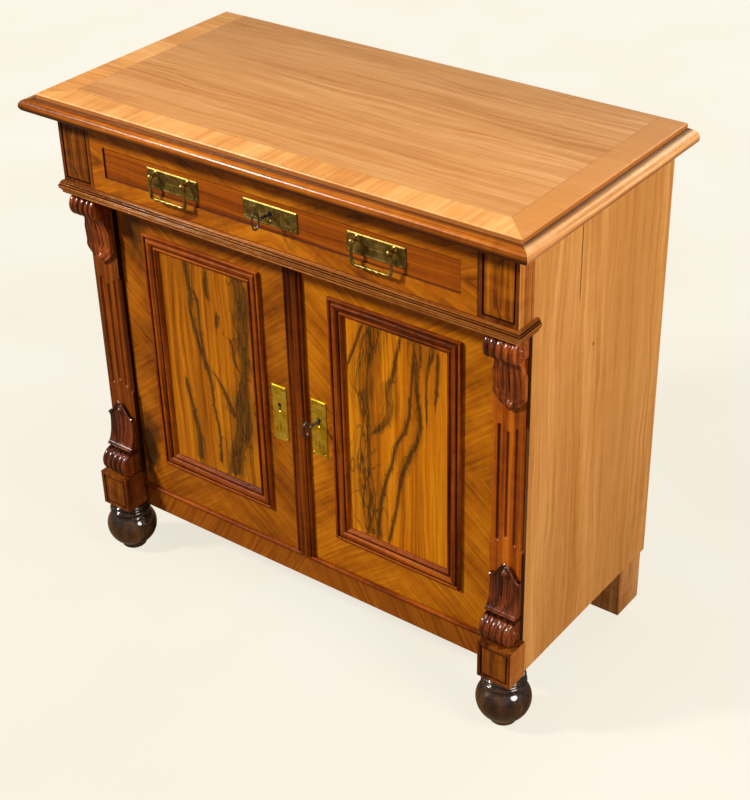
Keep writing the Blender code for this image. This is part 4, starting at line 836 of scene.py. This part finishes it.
def waist():
    """Five reeds over a fillet, returned round the corners."""
    section = [(GAP, 0.0003), (0.0030, 0.0006)]
    reeds = ((0.0048, 0.0030, 0.0022), (0.0062, 0.0072, 0.0021), (0.0092, 0.0112, 0.0021),
             (0.0100, 0.0150, 0.0018), (0.0078, 0.0186, 0.0018), (0.0062, 0.0220, 0.0017))
    for out, up, radius in reeds:
        section += arc((out - radius, up), radius, -0.24, 0.24, 7)
        section.append((out - radius * 1.35, up + radius * 1.02))
    section += [(0.0020, WAIST_H), (GAP, WAIST_H)]
    corners = ((-1, WAIST_RETURN_D, 0), (-1, FRIEZE_D, 1), (1, FRIEZE_D, 1), (1, WAIST_RETURN_D, 0))
    rings = [[at(side * (CASE_X + out), depth + out * mitred, WAIST_Z + up) for out, up in section]
             for side, depth, mitred in corners]
    shape = loft(rings, lambda gap: 0 if gap == 1 else 1)
    build("waist_reeding", shape, "waist_moulding", ["reeded_walnut_x", "reeded_walnut_y"])


def door_mouldings():
    """A mitred moulding round each door's panel; its section's points are (outwards, forwards)."""
    section = [(0.0, GAP), (0.0, 0.0040)]
    section += arc((-0.0030, 0.0036), 0.0030, 0.02, 0.46, 9)
    section += [(-0.0064, 0.0028)]
    section += smooth_line([(-0.0078, 0.0034), (-0.0098, 0.0062), (-0.0128, 0.0073), (-0.0158, 0.0066),
                            (-0.0188, 0.0042), (-0.0212, 0.0024)], 5)
    section += [(-0.0222, 0.0018)]
    section += arc((-0.0246, 0.0020), 0.0019, 0.10, 0.46, 6)
    section += smooth_line([(-0.0270, 0.0018), (-0.0286, 0.0008), (-MOULD_W, -0.0010)], 3)
    section += [(-MOULD_W, GAP - 0.003), (-0.0126, GAP - 0.003), (-0.0126, GAP)]
    # Painted shade: the faces in the two deep quirks get the near-black shade walnut.
    shaded_grooves = [-0.0078 < out < -0.0058 or -0.0224 < out < -0.0200
               for out in middles([out for out, up in section + section[:1]])]
    z0, z1 = MOULD_HEIGHTS
    for side, word in SIDES:
        x0, x1 = sorted(side * x for x in MOULD_OUT)
        corners = ((x0, z0, -1, -1), (x1, z0, 1, -1), (x1, z1, 1, 1), (x0, z1, -1, 1))
        rings = [[at(x + sx * out, DOOR_D + up, z + sz * out) for out, up in section]
                 for x, z, sx, sz in corners]
        shape = loft(rings, lambda gap: [2 if dark else gap % 2 for dark in shaded_grooves], joined=True)
        build(word + "_door_frame_strip", shape, word + "_door_moulding",
              ["red_walnut_x", "red_walnut_z", "painted_shade_walnut"], word + "_door")


def astragal():
    """The strip where the doors meet: a bead at each edge and a raised middle."""
    middle = sum(ASTRAGAL) / 2
    half = (ASTRAGAL[1] - ASTRAGAL[0]) / 2
    side = [(-half, GAP), (-half, 0.0030)]
    side += arc((-half + 0.0030, 0.0030), 0.0030, 0.48, 0.10, 8)
    side += [(x - half, out) for x, out in ((0.0062, 0.0034), (0.0070, 0.0034), (0.0076, 0.0066),
                                            (0.0084, 0.0080), (0.0100, 0.0085))]
    section = side + [(-x, out) for x, out in reversed(side)]
    shape = loft([[at(middle + x, DOOR_D + out, z) for x, out in section] for z in (DOOR_Z0, DOOR_Z1)])
    build("meeting_strip", shape, "centre_astragal", ["meeting_walnut"], "right_door")


def bead():
    section = [(GAP, 0.0), (0.0008, 0.0)] + arc((0.0029, BEAD_H / 2), 0.00372, -0.22, 0.22, 10)
    section += [(0.0008, BEAD_H), (GAP, BEAD_H)]
    shape = loft([[at(x, DOOR_D + out, BEAD_Z + up) for out, up in section] for x in (-BEAD_X, BEAD_X)])
    build("apron_bead", shape, "plinth_bead", ["red_walnut_x"])


def block(name, node, centre, side, plan, bottom, top, panel_top):
    """A column's block: framing strips, a step down and a low four-sided pyramid with a flat top."""
    shape = Shape()
    plan = [(side * x, d) for x, d in plan]
    low = shape.ring([at(x, d, bottom) for x, d in plan])
    high = shape.ring([at(x, d, top) for x, d in plan])
    last = len(plan) - 2
    for k in range(last + 1):
        shape.face((low[k], low[k + 1], high[k + 1], high[k]), 3 if k == last else 1)
    shape.face(low[::-1], 1)
    shape.face(high, 1)
    x0, x1 = sorted((plan[0][0], plan[-1][0]))
    front = plan[0][1]
    size = min(x1 - x0, panel_top - bottom)
    steps = ((0.0, 0.0), (0.0064, 0.0), (0.0072, -0.0024), (0.0088, -0.0026), (0.0094, -0.0006),
             (size * 0.485, 0.0040), (size * 0.492, 0.0040))
    rings = []
    for inset, up in steps:
        left, right, low_z, high_z = x0 + inset, x1 - inset, bottom + inset, panel_top - inset
        corners = ((left, low_z), (right, low_z), (right, high_z), (left, high_z))
        rings.append(shape.ring([at(x, front + up, z) for x, z in corners]))
    # Painted shade: the step down and the groove round the pyramid get the near-black shade walnut.
    for first, second, slot in zip(rings, rings[1:], (1, 2, 2, 2, 0, 0)):
        shape.bridge(first, second, slot)
    shape.face(rings[-1])
    if panel_top < top:
        upper = shape.ring([at(x0, front, top), at(x1, front, top)])
        shape.face((rings[0][3], rings[0][2], upper[1], upper[0]), 1)
    build(name, shape, node, [centre, "block_frame", "painted_shade_walnut", "block_side_walnut"],
          angle=20)


def blocks():
    """The blocks at the top and bottom of each column; a plan's points are (x, depth)."""
    inner = ((INSIDE_X, STILE_BACK_D), (INSIDE_X, SIDE_D))
    top_plan = ((BLOCK_X, FRIEZE_D), (BLOCK_X, STILE_BACK_D), *inner, (CASE_X, SIDE_D), (CASE_X, FRIEZE_D))
    base_plan = ((BASE_X, BASE_D), (BASE_X, BASE_LAP_D), (SHAFT_X, BASE_LAP_D), (SHAFT_X, STILE_BACK_D),
                 *inner, (BASE_OUT_X, SIDE_D), (BASE_OUT_X, BASE_D))
    for side, word in SIDES:
        centre = "block_veneer_lit" if side > 0 else "block_veneer_dark"
        block("top_block_" + word, "frieze_block_" + word, centre, side, top_plan, FRIEZE_Z, BOARD_Z - GAP,
              MOULDING_Z)
        block("base_block_" + word, "pilaster_base_" + word, "block_veneer_dark", side, base_plan, BASE_Z,
              BASE_TOP_Z, BASE_TOP_Z)


def flute_depth(x, z):
    """How deep the flutes are cut at a place of the shaft's front, x counted from its middle."""
    cut = 0.0
    for place in (-1, 0, 1):
        shorter = 0.0 if place else FLUTE_SHORTER
        low, high = FLUTE_LOW + shorter + FLUTE_R, FLUTE_HIGH - shorter - FLUTE_R
        off = hypot(x - place * FLUTE_PITCH, max(low - z, z - high, 0.0))
        if off < FLUTE_R:
            cut = max(cut, FLUTE_CUT - FLUTE_R + sqrt(FLUTE_R ** 2 - off ** 2))
    return cut


def shaft_front(x, z):
    """Depth of the shaft's front face, with its flutes and its stopped chamfers."""
    edge = SHAFT_HALF - abs(x)
    stop = unit(min(z - FLUTE_LOW + 0.009, FLUTE_HIGH + 0.009 - z) / 0.006)
    return SHAFT_D - flute_depth(x, z) - max(0.0, CHAMFER - edge) * stop


def spaced(low, high, step):
    """Even places from low to high, at most a step apart."""
    count = max(1, ceil((high - low) / step))
    return [low + (high - low) * k / count for k in range(count + 1)]


def merged(places):
    return sorted({round(place, 6) for place in places})


def shafts():
    """The columns' shafts, skinned finely where flutes and chamfers end and coarsely between."""
    middle = (SHAFT_X + SHAFT_OUT_X) / 2
    across = merged(spaced(-SHAFT_HALF, -SHAFT_HALF + CHAMFER, 0.0013)
                    + spaced(SHAFT_HALF - CHAMFER, SHAFT_HALF, 0.0013)
                    + [p * FLUTE_PITCH + v for p in (-1, 0, 1) for v in spaced(-0.0043, 0.0043, 0.0007)])
    heights = merged([BASE_TOP_Z + GAP, WAIST_Z]
                     + spaced(FLUTE_LOW - 0.011, FLUTE_LOW + 0.018, 0.0011)
                     + spaced(FLUTE_LOW + 0.018, FLUTE_HIGH - 0.018, 0.04)
                     + spaced(FLUTE_HIGH - 0.018, FLUTE_HIGH + 0.011, 0.0011))
    back = ((SHAFT_OUT_X, SIDE_D), (INSIDE_X, SIDE_D), (INSIDE_X, STILE_BACK_D), (SHAFT_X, STILE_BACK_D))
    # Painted shade: the flutes get the flute walnut, and the shaft's sides and back get the near-black shade
    # walnut.
    slots = [[2 if flute_depth(x, z) > 0.0008 else 0 for x in middles(across)] + [1] * 5
             for z in middles(heights)]
    for side, word in SIDES:
        rings = [[at(side * (middle + x), shaft_front(x, z), z) for x in across]
                 + [at(side * x, d, z) for x, d in back] for z in heights]
        build("fluted_shaft_" + word, loft(rings, lambda gap: slots[gap]), "pilaster_" + word,
              ["shaft_walnut_" + word, "painted_shade_walnut", "flute_shade_walnut"], angle=28)


def rib_height(s):
    """0 in the grooves and 1 on the crowns of a roll: broad ends, three ribs between them."""
    edges = (-1.0, -0.66, -0.26, 0.20, 0.62, 1.0)
    for low, high in zip(edges, edges[1:]):
        if low <= s <= high:
            t = (s - low) / (high - low) * 2 - 1
            return sqrt(max(0.0, 1 - abs(t) ** 2.4))
    return 0.0


def reed_cut(s, count, spread):
    """How deep the grooves are cut between a console's convex reeds; beside the reeds, a little."""
    if abs(s) > spread:
        return CARVED_CUT * 0.25
    t = (s / spread + 1) / 2 * count
    t = (t - int(t)) * 2 - 1
    return CARVED_CUT * (1 - sqrt(max(0.0, 1 - abs(t) ** 2.2)))


def roll_rows(centre_d, centre_z, radius, first, last):
    """Rows over the front of a ribbed roll, between two angles in degrees."""
    local = [(s * CONSOLE_HALF, radius - RIB_CUT * (1 - rib_height(s))) for s in ACROSS]
    rows = []
    for angle in (radians(first + (last - first) * k / ROLL_STEPS) for k in range(ROLL_STEPS + 1)):
        rows.append([(px, centre_d + r * cos(angle), centre_z + r * sin(angle)) for px, r in local])
    return rows


def boss(x, depth, z, radius):
    profile = [(radius * 1.25, -0.003), (radius * 1.25, 0.0004), (radius * 1.05, 0.0010)]
    for angle in (pi / 16 * k for k in range(1, 9)):
        profile.append((radius * cos(angle), 0.0008 + radius * 0.75 * sin(angle)))
    return lathe(profile, at(x, depth, z), "Y", 28)


def scroll_eye(x, side, depth, z, radius):
    """A spiral line and its eye on the end of a roll."""
    turn = [(radius * (0.92 - 0.62 * k / 40), 2 * pi * 1.35 * k / 40) for k in range(41)]
    points = [at(x + side * 0.0004, depth + r * cos(a + 1.2), z + r * sin(a + 1.2)) for r, a in turn]
    shape = pipe(points, [0.0011 - 0.0004 * k / 40 for k in range(41)], 8)
    eye = ((radius * 0.30, -0.001), (radius * 0.30, 0.0008), (radius * 0.2, 0.0022), (0.0, 0.0028))
    shape.join(lathe([(r, side * out) for r, out in eye], at(x, depth, z), "X", 24))
    return shape


def console(side, rows, dark, roll, trims):
    """Skins rows of (across, depth, height), closes them at the shaft, and adds trims and the roll's eye."""
    x = side * CONSOLE_X
    rings = []
    for row in rows:
        ends = [at(x + side * row[k][0], SHAFT_D + GAP, row[k][2]) for k in (-1, 0)]
        rings.append([at(x + side * px, d, z) for px, d, z in row] + ends)
    shape = loft(rings, lambda gap: 1 if gap in dark else 0)
    for trim in trims:
        shape.join(trim)
    centre_d, centre_z, radius = roll
    shape.join(scroll_eye(x + side * CONSOLE_HALF, side, centre_d, centre_z, radius * 0.72))
    return shape


def upper_console(side, word):
    """A ribbed roll, a narrow neck, and a reeded tongue that ends in a point."""
    roll = (ROLL_FRONT_D - UPPER_ROLL_R, WAIST_Z - UPPER_ROLL_R - GAP, UPPER_ROLL_R)
    rows = roll_rows(*roll, 90, -78)
    line = smooth_line([(0.4440, 0.7215), (0.4392, 0.7165), (0.4370, 0.7090), (0.4352, 0.6980),
                        (0.4338, 0.6860), (0.4328, 0.6720), (0.4320, 0.6600), (0.4316, 0.6500),
                        (0.4314, 0.6420), (0.4310, 0.6340), (0.4302, 0.6275), (0.4290, UPPER_TIP_Z)], 5)
    point_z = UPPER_TIP_Z + UPPER_POINT_H
    for depth, z in line:
        neck = unit((z - 0.6880) / 0.0270)
        narrow = 1.0 - 0.20 * neck * neck * (3 - 2 * neck)
        if z < point_z:
            narrow = max(0.004, 1 - ((point_z - z) / UPPER_POINT_H) ** 1.25)
        fade = unit((z - 0.6530) / 0.008) * unit((0.7210 - z) / 0.006)
        rim = 0.0012 if z > point_z else 0.00036
        row = []
        for s in ACROSS:
            px = s * CONSOLE_HALF * narrow
            off = z - UPPER_TIP_Z - UPPER_POINT_H * (abs(px) / CONSOLE_HALF) ** 0.8
            raised = 0.0016 * swell(off - 0.0085, 0.0040) + rim * swell(1 - abs(s), 0.07)
            row.append((px, depth - reed_cut(s, 4, 0.74) * fade + raised, z))
        rows.append(row)
    knob = boss(side * CONSOLE_X, 0.4312, UPPER_TIP_Z + 0.0140, 0.0062)
    shape = console(side, rows, (), roll, [knob])
    build("hanging_console_" + word, shape, "upper_console_" + word, ["carved_walnut"], angle=40)


def lower_console(side, word):
    """A ribbed roll, a groove with painted shade and a ledge over it, and a reeded shield with an ogee top.
    """
    roll = (ROLL_FRONT_D - LOWER_ROLL_R, BASE_TOP_Z + GAP + LOWER_ROLL_R, LOWER_ROLL_R)
    rows = roll_rows(*roll, -90, 78)
    # Painted shade: the rows at the groove under the ledge get the near-black shade walnut.
    dark = range(len(rows) - 2, len(rows) + 2)
    ledge_z = roll[1] + LOWER_ROLL_R
    stations = ((0.4360, -0.0006), (0.4350, 0.0022), (0.4360, 0.0034), (0.4440, 0.0038), (0.4468, 0.0050),
                (0.4466, 0.0066), (0.4436, 0.0080), (0.4408, 0.0110), (0.4372, 0.0195), (0.4340, 0.0330),
                (0.4322, 0.0500), (0.4316, 0.0640))
    line = [(depth, ledge_z + up) for depth, up in stations]
    line = line[:3] + smooth_line(line[3:], 5)
    for depth, z in line:
        fade = unit((z - ledge_z - 0.009) / 0.008)
        squeeze = 0.62 + 0.38 * unit((z - ledge_z) / 0.06)
        rows.append([(s * CONSOLE_HALF, depth - reed_cut(s / squeeze, 3, 0.62) * fade, z) for s in ACROSS])
    start_d, start_z = line[-1]
    steps = 16
    for k in range(1, steps + 1):
        row = []
        for s in ACROSS:
            crest = LOWER_TOP_Z - 0.0305 * (0.5 - 0.5 * cos(pi * s)) ** 0.8
            z = start_z + (crest - start_z) * k / steps
            below = crest - z
            lip = 0.0034 * swell(below - 0.0030, 0.0024) + 0.0010 * swell(below - 0.0085, 0.0016)
            carve = reed_cut(s, 3, 0.62) * unit((below - 0.012) / 0.006)
            row.append((s * CONSOLE_HALF, start_d + lip - carve, z))
        rows.append(row)
    x = side * CONSOLE_X
    around = [2 * pi * k / 32 for k in range(32)]
    ring = [at(x + 0.0085 * cos(a), 0.4322, LOWER_BOSS_Z + 0.0085 * sin(a)) for a in around]
    knob = boss(x, 0.4322, LOWER_BOSS_Z, 0.0058)
    shape = console(side, rows, dark, roll, [knob, pipe(ring, [0.0011] * 32, 8, True)])
    build("standing_console_" + word, shape, "lower_console_" + word,
          ["carved_walnut_low", "painted_shade_walnut"], angle=40)


def feet():
    """Turned bun feet: rings and a neck over a ball that narrows to a low foot ring."""
    top = FOOT_TOP_Z
    profile = [(0.0, top), (0.0345, top), (0.0360, top - 0.0012)]
    profile += arc((0.0352, top - 0.0042), 0.0028, 0.2, -0.2, 8)
    profile += [(0.0352, top - 0.0082), (0.0345, top - 0.0098), (0.0352, top - 0.0110)]
    profile += arc((0.0350, top - 0.0160), 0.0046, 0.21, -0.21, 10)
    profile += [(0.0352, top - 0.0216), (0.0342, top - 0.0236), (0.0352, top - 0.0256)]
    neck = 0.72
    steps = 12
    for angle in (neck * (1 - k / steps) for k in range(steps + 1)):
        up = (top - 0.0270 - BALL_Z) * sin(angle) / sin(neck)
        profile.append((BALL_R * cos(angle * 1.02), BALL_Z + up))
    under = 1.06
    for angle in (under * k / steps for k in range(1, steps + 1)):
        profile.append((BALL_R * cos(angle), BALL_Z - (BALL_Z - 0.0085) * sin(angle) / sin(under)))
    profile += [(0.0232, 0.0076), (0.0240, 0.0062), (0.0246, 0.0040), (0.0240, 0.0012), (0.0228, 0.0),
                (0.0, 0.0)]
    for side, word in SIDES:
        shape = lathe(profile, at(side * FOOT_X, FOOT_D, 0.0), "Z", 72)
        build("turned_foot_" + word, shape, "bun_foot_" + word, ["foot_wood"], angle=50)


def plate_shape(size, centre, depth, key_z, sunk, pins):
    """A stamped brass plate: raised rim, sunk dashes, a pin near each corner, and a keyhole at height key_z.

    A dash is (x, z, half width, half height); pins is the distance of a pin from the centre, both ways.
    """
    width, height = size
    cx, cz = centre
    xs = spaced(-width / 2, width / 2, 0.0009)
    zs = spaced(-height / 2, height / 2, 0.0009)

    def forward(x, z):
        edge = min(width / 2 - abs(x), height / 2 - abs(z))
        level = PLATE_THICK - 0.0005 * max(0.0, 1 - edge / 0.0008)
        if 0.0008 < edge < 0.0030:
            level += 0.0006 * sin(pi * (edge - 0.0008) / 0.0022)
        for px, pz, half_x, half_z in sunk:
            inside = min(half_x - abs(x - px), half_z - abs(z - pz))
            level -= 0.0006 * unit(inside / 0.0007 + 0.5)
        return level

    def is_hole(x, z):
        if key_z is None:
            return False
        up = z - (key_z - cz)
        return hypot(x, up) < 0.0040 or (abs(x) < 0.0017 and -0.0125 < up < 0.0)

    shape = Shape()
    grid = [shape.ring([at(cx + x, depth + GAP + (0.0002 if is_hole(x, z) else forward(x, z)), cz + z)
                        for x in xs]) for z in zs]
    for low, high, z in zip(grid, grid[1:], middles(zs)):
        for i, x in enumerate(middles(xs)):
            stamped = any(abs(x - px) < half_x and abs(z - pz) < half_z for px, pz, half_x, half_z in sunk)
            # The keyhole is not cut: a shallow flat with the painted shade material stands in for it.
            slot = 1 if is_hole(x, z) else 2 * stamped
            shape.face((low[i], low[i + 1], high[i + 1], high[i]), slot)
    rim = grid[0] + [row[-1] for row in grid[1:]] + grid[-1][-2::-1] + [row[0] for row in grid[-2:0:-1]]
    back = shape.ring([(shape.points[k][0], BACK_Y - depth - GAP, shape.points[k][2]) for k in rim])
    shape.bridge(rim, back)
    shape.face(back)
    for dx in (-pins[0], pins[0]):
        for dz in (-pins[1], pins[1]):
            shape.join(lathe(PIN, at(cx + dx, depth + 0.0013, cz + dz), "Y", 14), 2)
    return shape


def mirrored(*dashes):
    return [(side * x, z, half_x, half_z) for x, z, half_x, half_z in dashes for side, word in SIDES]


def escutcheons():
    """The keyhole plates of the doors and the drawer."""
    sunk = mirrored((0.0090, 0.047, 0.0035, 0.0009), (0.0085, -0.034, 0.0009, 0.0060))
    sunk += [(0.0, -0.034, 0.0009, 0.0090), (0.0, 0.038, 0.0060, 0.0009)]
    for x, word in ((LEFT_PLATE_X, "left"), (RIGHT_PLATE_X, "right")):
        shape = plate_shape((PLATE_W, PLATE_LONG), (x, PLATE_Z), DOOR_D, DOOR_KEY_Z, sunk, (0.0125, 0.052))
        build(word + "_keyhole_plate", shape, word + "_door_escutcheon",
              ["old_brass_door", "keyhole_shade", "old_brass"], word + "_door")
    sunk = mirrored((0.036, 0.009, 0.0060, 0.0009), (0.036, -0.009, 0.0060, 0.0009),
                    (0.022, 0.0, 0.0009, 0.0080))
    shape = plate_shape(DRAWER_PLATE, (0.0, PULL_Z), RECESS_D, DRAWER_KEY_Z, sunk, DRAWER_PINS)
    build("drawer_keyhole_plate", shape, "drawer_escutcheon", DRAWER_BRASS, "drawer")


def pulls():
    """The drawer's pull plates with their posts, and the bails that swing on them."""
    sunk = mirrored((0.035, 0.0148, 0.0052, 0.0009), (0.0495, 0.0, 0.0006, 0.0050))
    sunk += [(0.0, -0.0010, 0.0145, 0.0010)]
    for side, word in SIDES:
        x = side * PULL_X
        shape = plate_shape(DRAWER_PLATE, (x, PULL_Z), RECESS_D, None, sunk, DRAWER_PINS)
        for end in (-POST_HALF, POST_HALF):
            shape.join(lathe(POST, at(x + end, RECESS_D + GAP, POST_Z), "Y", 24), 2)
        build("pull_back_" + word, shape, "pull_plate_" + word, DRAWER_BRASS, "drawer")
        build("swinging_pull_" + word, bail_shape(x), "bail_" + word, DRAWER_BRASS[:1], word + "_bail")


def bail_shape(x):
    """A bail: eyes at the posts, straight arms, rounded corners and a bar of small swellings."""
    low = POST_Z - BAIL_DROP + 0.0004
    arm = POST_HALF + 0.0022
    corner = 0.0060
    half = [(POST_HALF, POST_Z, 0.0024), (arm, POST_Z - 0.0030, 0.0028), (arm, POST_Z - 0.0075, 0.0025),
            (arm + 0.0005, POST_Z - 0.0150, 0.0023), (arm + 0.0005, POST_Z - 0.0230, 0.0024),
            (arm, low + corner, 0.0028), (arm - corner * 0.30, low + corner * 0.30, 0.0030)]
    swelling = 0.0128
    for a in ((arm - corner) * (1 - k / 12) for k in range(13)):
        wave = abs(cos(pi * a / swelling))
        half.append((a, low + 0.0010 - 0.0010 * wave, 0.0020 + 0.0011 * wave))
    line = smooth_line([(-a, z, r) for a, z, r in half[:-1]] + half[::-1], 5)
    shape = pipe([at(x + a, POST_D, z) for a, z, r in line], [r for a, z, r in line], 12)
    for end in (-1, 1):
        shape.join(lathe(BAIL_EYE, at(x + end * (POST_HALF + 0.0003), POST_D, POST_Z - 0.0003), "X", 20))
    return shape


def key_shape(x, face, z, tip, bow_out):
    """A key: a turned shank with collars from its tip to its bow, and the bow, a ring of round wire."""
    bow_d = face + bow_out
    wire = 0.0018
    bow_half = (0.010 - wire, 0.016 - wire)
    near = bow_d - bow_half[0]
    collar = face + 0.0075
    line = [(0.0, tip), (0.0022, tip), (0.0026, tip + 0.0006), (0.0026, collar - 0.0010),
            (0.0038, collar - 0.0004), (0.0040, collar + 0.0010), (0.0038, collar + 0.0024),
            (0.0028, collar + 0.0030), (0.0026, near - 0.0060), (0.0036, near - 0.0050),
            (0.0038, near - 0.0036), (0.0030, near - 0.0024), (0.0022, near), (0.0, near)]
    shape = lathe([(r, d - tip) for r, d in line], at(x, tip, z), "Y", 24)
    around = [2 * pi * k / 40 for k in range(40)]
    bow = [at(x, bow_d + bow_half[0] * cos(a), z + bow_half[1] * sin(a)) for a in around]
    shape.join(pipe(bow, [wire * 0.82 * (1.0 + 0.25 * abs(sin(a)) ** 3) for a in around], 10, True))
    return shape


def keys():
    build("key_in_drawer", key_shape(0.0, RECESS_D, DRAWER_KEY_Z, 0.4347, 0.0365), "drawer_key",
          ["dark_iron"], "drawer_key")
    build("key_in_door", key_shape(RIGHT_PLATE_X, DOOR_D, DOOR_KEY_Z, 0.3895, 0.0363), "right_door_key",
          ["dark_iron"], "right_door_key")


# The CAD nodes that stay, by the material they get
CARRIED = {
    "side_walnut_left": "side_panel_left",
    "side_walnut_right": "side_panel_right",
    "pine_x": "back_panel bottom_board shelf drawer_back drawer_bottom",
    "pine_y": "drawer_runner_left drawer_runner_right drawer_side_left drawer_side_right",
    "rail_veneer": "top_rail",
    "red_walnut_x": "drawer_rail",
    "apron_veneer": "plinth_rail",
    "rear_foot_wood": "rear_foot_left rear_foot_right",
    "drawer_veneer": "drawer_front",
    "door_veneer_left": "left_door_frame",
    "door_veneer_right": "right_door_frame",
    "figured_left": "left_door_panel",
    "figured_right": "right_door_panel",
    "dark_iron": "left_door_lower_pin left_door_upper_pin right_door_lower_pin right_door_upper_pin "
                 "drawer_lock drawer_lock_bolt left_door_bolt right_door_lock right_door_lock_bolt",
}


def dress_nodes():
    for key, names in CARRIED.items():
        for name in names.split():
            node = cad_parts[name]
            if not node.material_slots:
                node.data.materials.append(MATERIALS[key])
            for slot in node.material_slots:
                slot.link = "OBJECT"
                slot.material = MATERIALS[key]


def stage():
    """A pale floor that looks white to the camera, keeps the shadow and throws little light back."""
    reach = 14.0
    mesh = bpy.data.meshes.new("floor")
    mesh.from_pydata([(-reach, -reach, 0), (reach, -reach, 0), (reach, reach, 0), (-reach, reach, 0)], [],
                     [(0, 1, 2, 3)])
    graph = Graph("pale_floor")
    x, y, z = graph.place
    pale = graph.noise((x, y, 0.0), 2.0, detail=2.0).ramp(((250, 243, 226), (254, 249, 236)), (0.2, 0.8))
    seen = graph.value("LightPath", output="Is Camera Ray")
    glow = seen * (0.82 + graph.distance(x, y).rise(1.55, 1.5) * 0.18)
    black = (0, 0, 0)
    colour = graph.mix(seen, (128, 104, 80), graph.mix(0.34, pale, black)).tint(glow, black)
    graph.plug(pale, graph.shader.inputs["Emission Color"])
    graph.plug(glow, graph.shader.inputs["Emission Strength"])
    graph.finish(colour, 0.8, gloss=0.0)
    mesh.materials.append(graph.material)
    put("floor", mesh)


def area_light(name, position, target, size, power, colour):
    data = bpy.data.lights.new(name, "AREA")
    data.shape = "DISK"
    data.size = size
    data.energy = power
    data.color = colour
    light = put(name, data)
    light.location = position
    light.rotation_euler = (Vector(target) - Vector(position)).to_track_quat("-Z", "Y").to_euler()


def lights():
    """Three soft lamps, and a world that is white to the camera and dim to everything else."""
    world = bpy.data.worlds.new("studio")
    world.use_nodes = True
    tree = world.node_tree
    background = tree.nodes["Background"]
    background.inputs["Color"].default_value = (1.0, 0.97, 0.93, 1.0)
    path = tree.nodes.new("ShaderNodeLightPath")
    seen = tree.nodes.new("ShaderNodeMath")
    seen.operation = "MULTIPLY_ADD"
    tree.links.new(path.outputs["Is Camera Ray"], seen.inputs[0])
    seen.inputs[1].default_value = 0.80
    seen.inputs[2].default_value = 0.20
    tree.links.new(seen.outputs[0], background.inputs["Strength"])
    bpy.context.scene.world = world
    area_light("key", (-3.1, -3.1, 3.7), (0.0, -0.1, 0.5), 0.7, 350.0, (1.0, 0.96, 0.91))
    area_light("right_fill", (2.9, -0.4, 2.0), (0.4, 0.0, 0.4), 1.4, 90.0, (1.0, 0.97, 0.93))
    area_light("behind", (0.3, 3.3, 2.4), (0.0, 0.2, 0.5), 1.6, 42.0, (1.0, 0.98, 0.95))


def camera():
    azimuth, elevation, roll = radians(CAMERA_AZIMUTH), radians(CAMERA_ELEVATION), radians(CAMERA_ROLL)
    back = Vector((sin(azimuth) * cos(elevation), -cos(azimuth) * cos(elevation), sin(elevation)))
    right = Vector((cos(azimuth), sin(azimuth), 0.0))
    up = back.cross(right)
    turned_right = cos(roll) * right + sin(roll) * up
    turned_up = -sin(roll) * right + cos(roll) * up
    matrix = Matrix((turned_right, turned_up, back)).transposed().to_4x4()
    matrix.translation = Vector(CAMERA_POSITION)
    data = bpy.data.cameras.new("camera")
    data.sensor_fit = "HORIZONTAL"
    data.sensor_width = SENSOR
    data.lens = LENS
    data.clip_end = 60.0
    viewer = put("camera", data)
    viewer.matrix_world = matrix
    bpy.context.scene.camera = viewer


bpy.context.scene.view_settings.view_transform = "Standard"
stage()
lights()
camera()
materials()
dress_nodes()
top_slab()
top_mouldings()
waist()
blocks()
shafts()
for column in SIDES:
    upper_console(*column)
    lower_console(*column)
feet()
bead()
door_mouldings()
astragal()
escutcheons()
pulls()
keys()
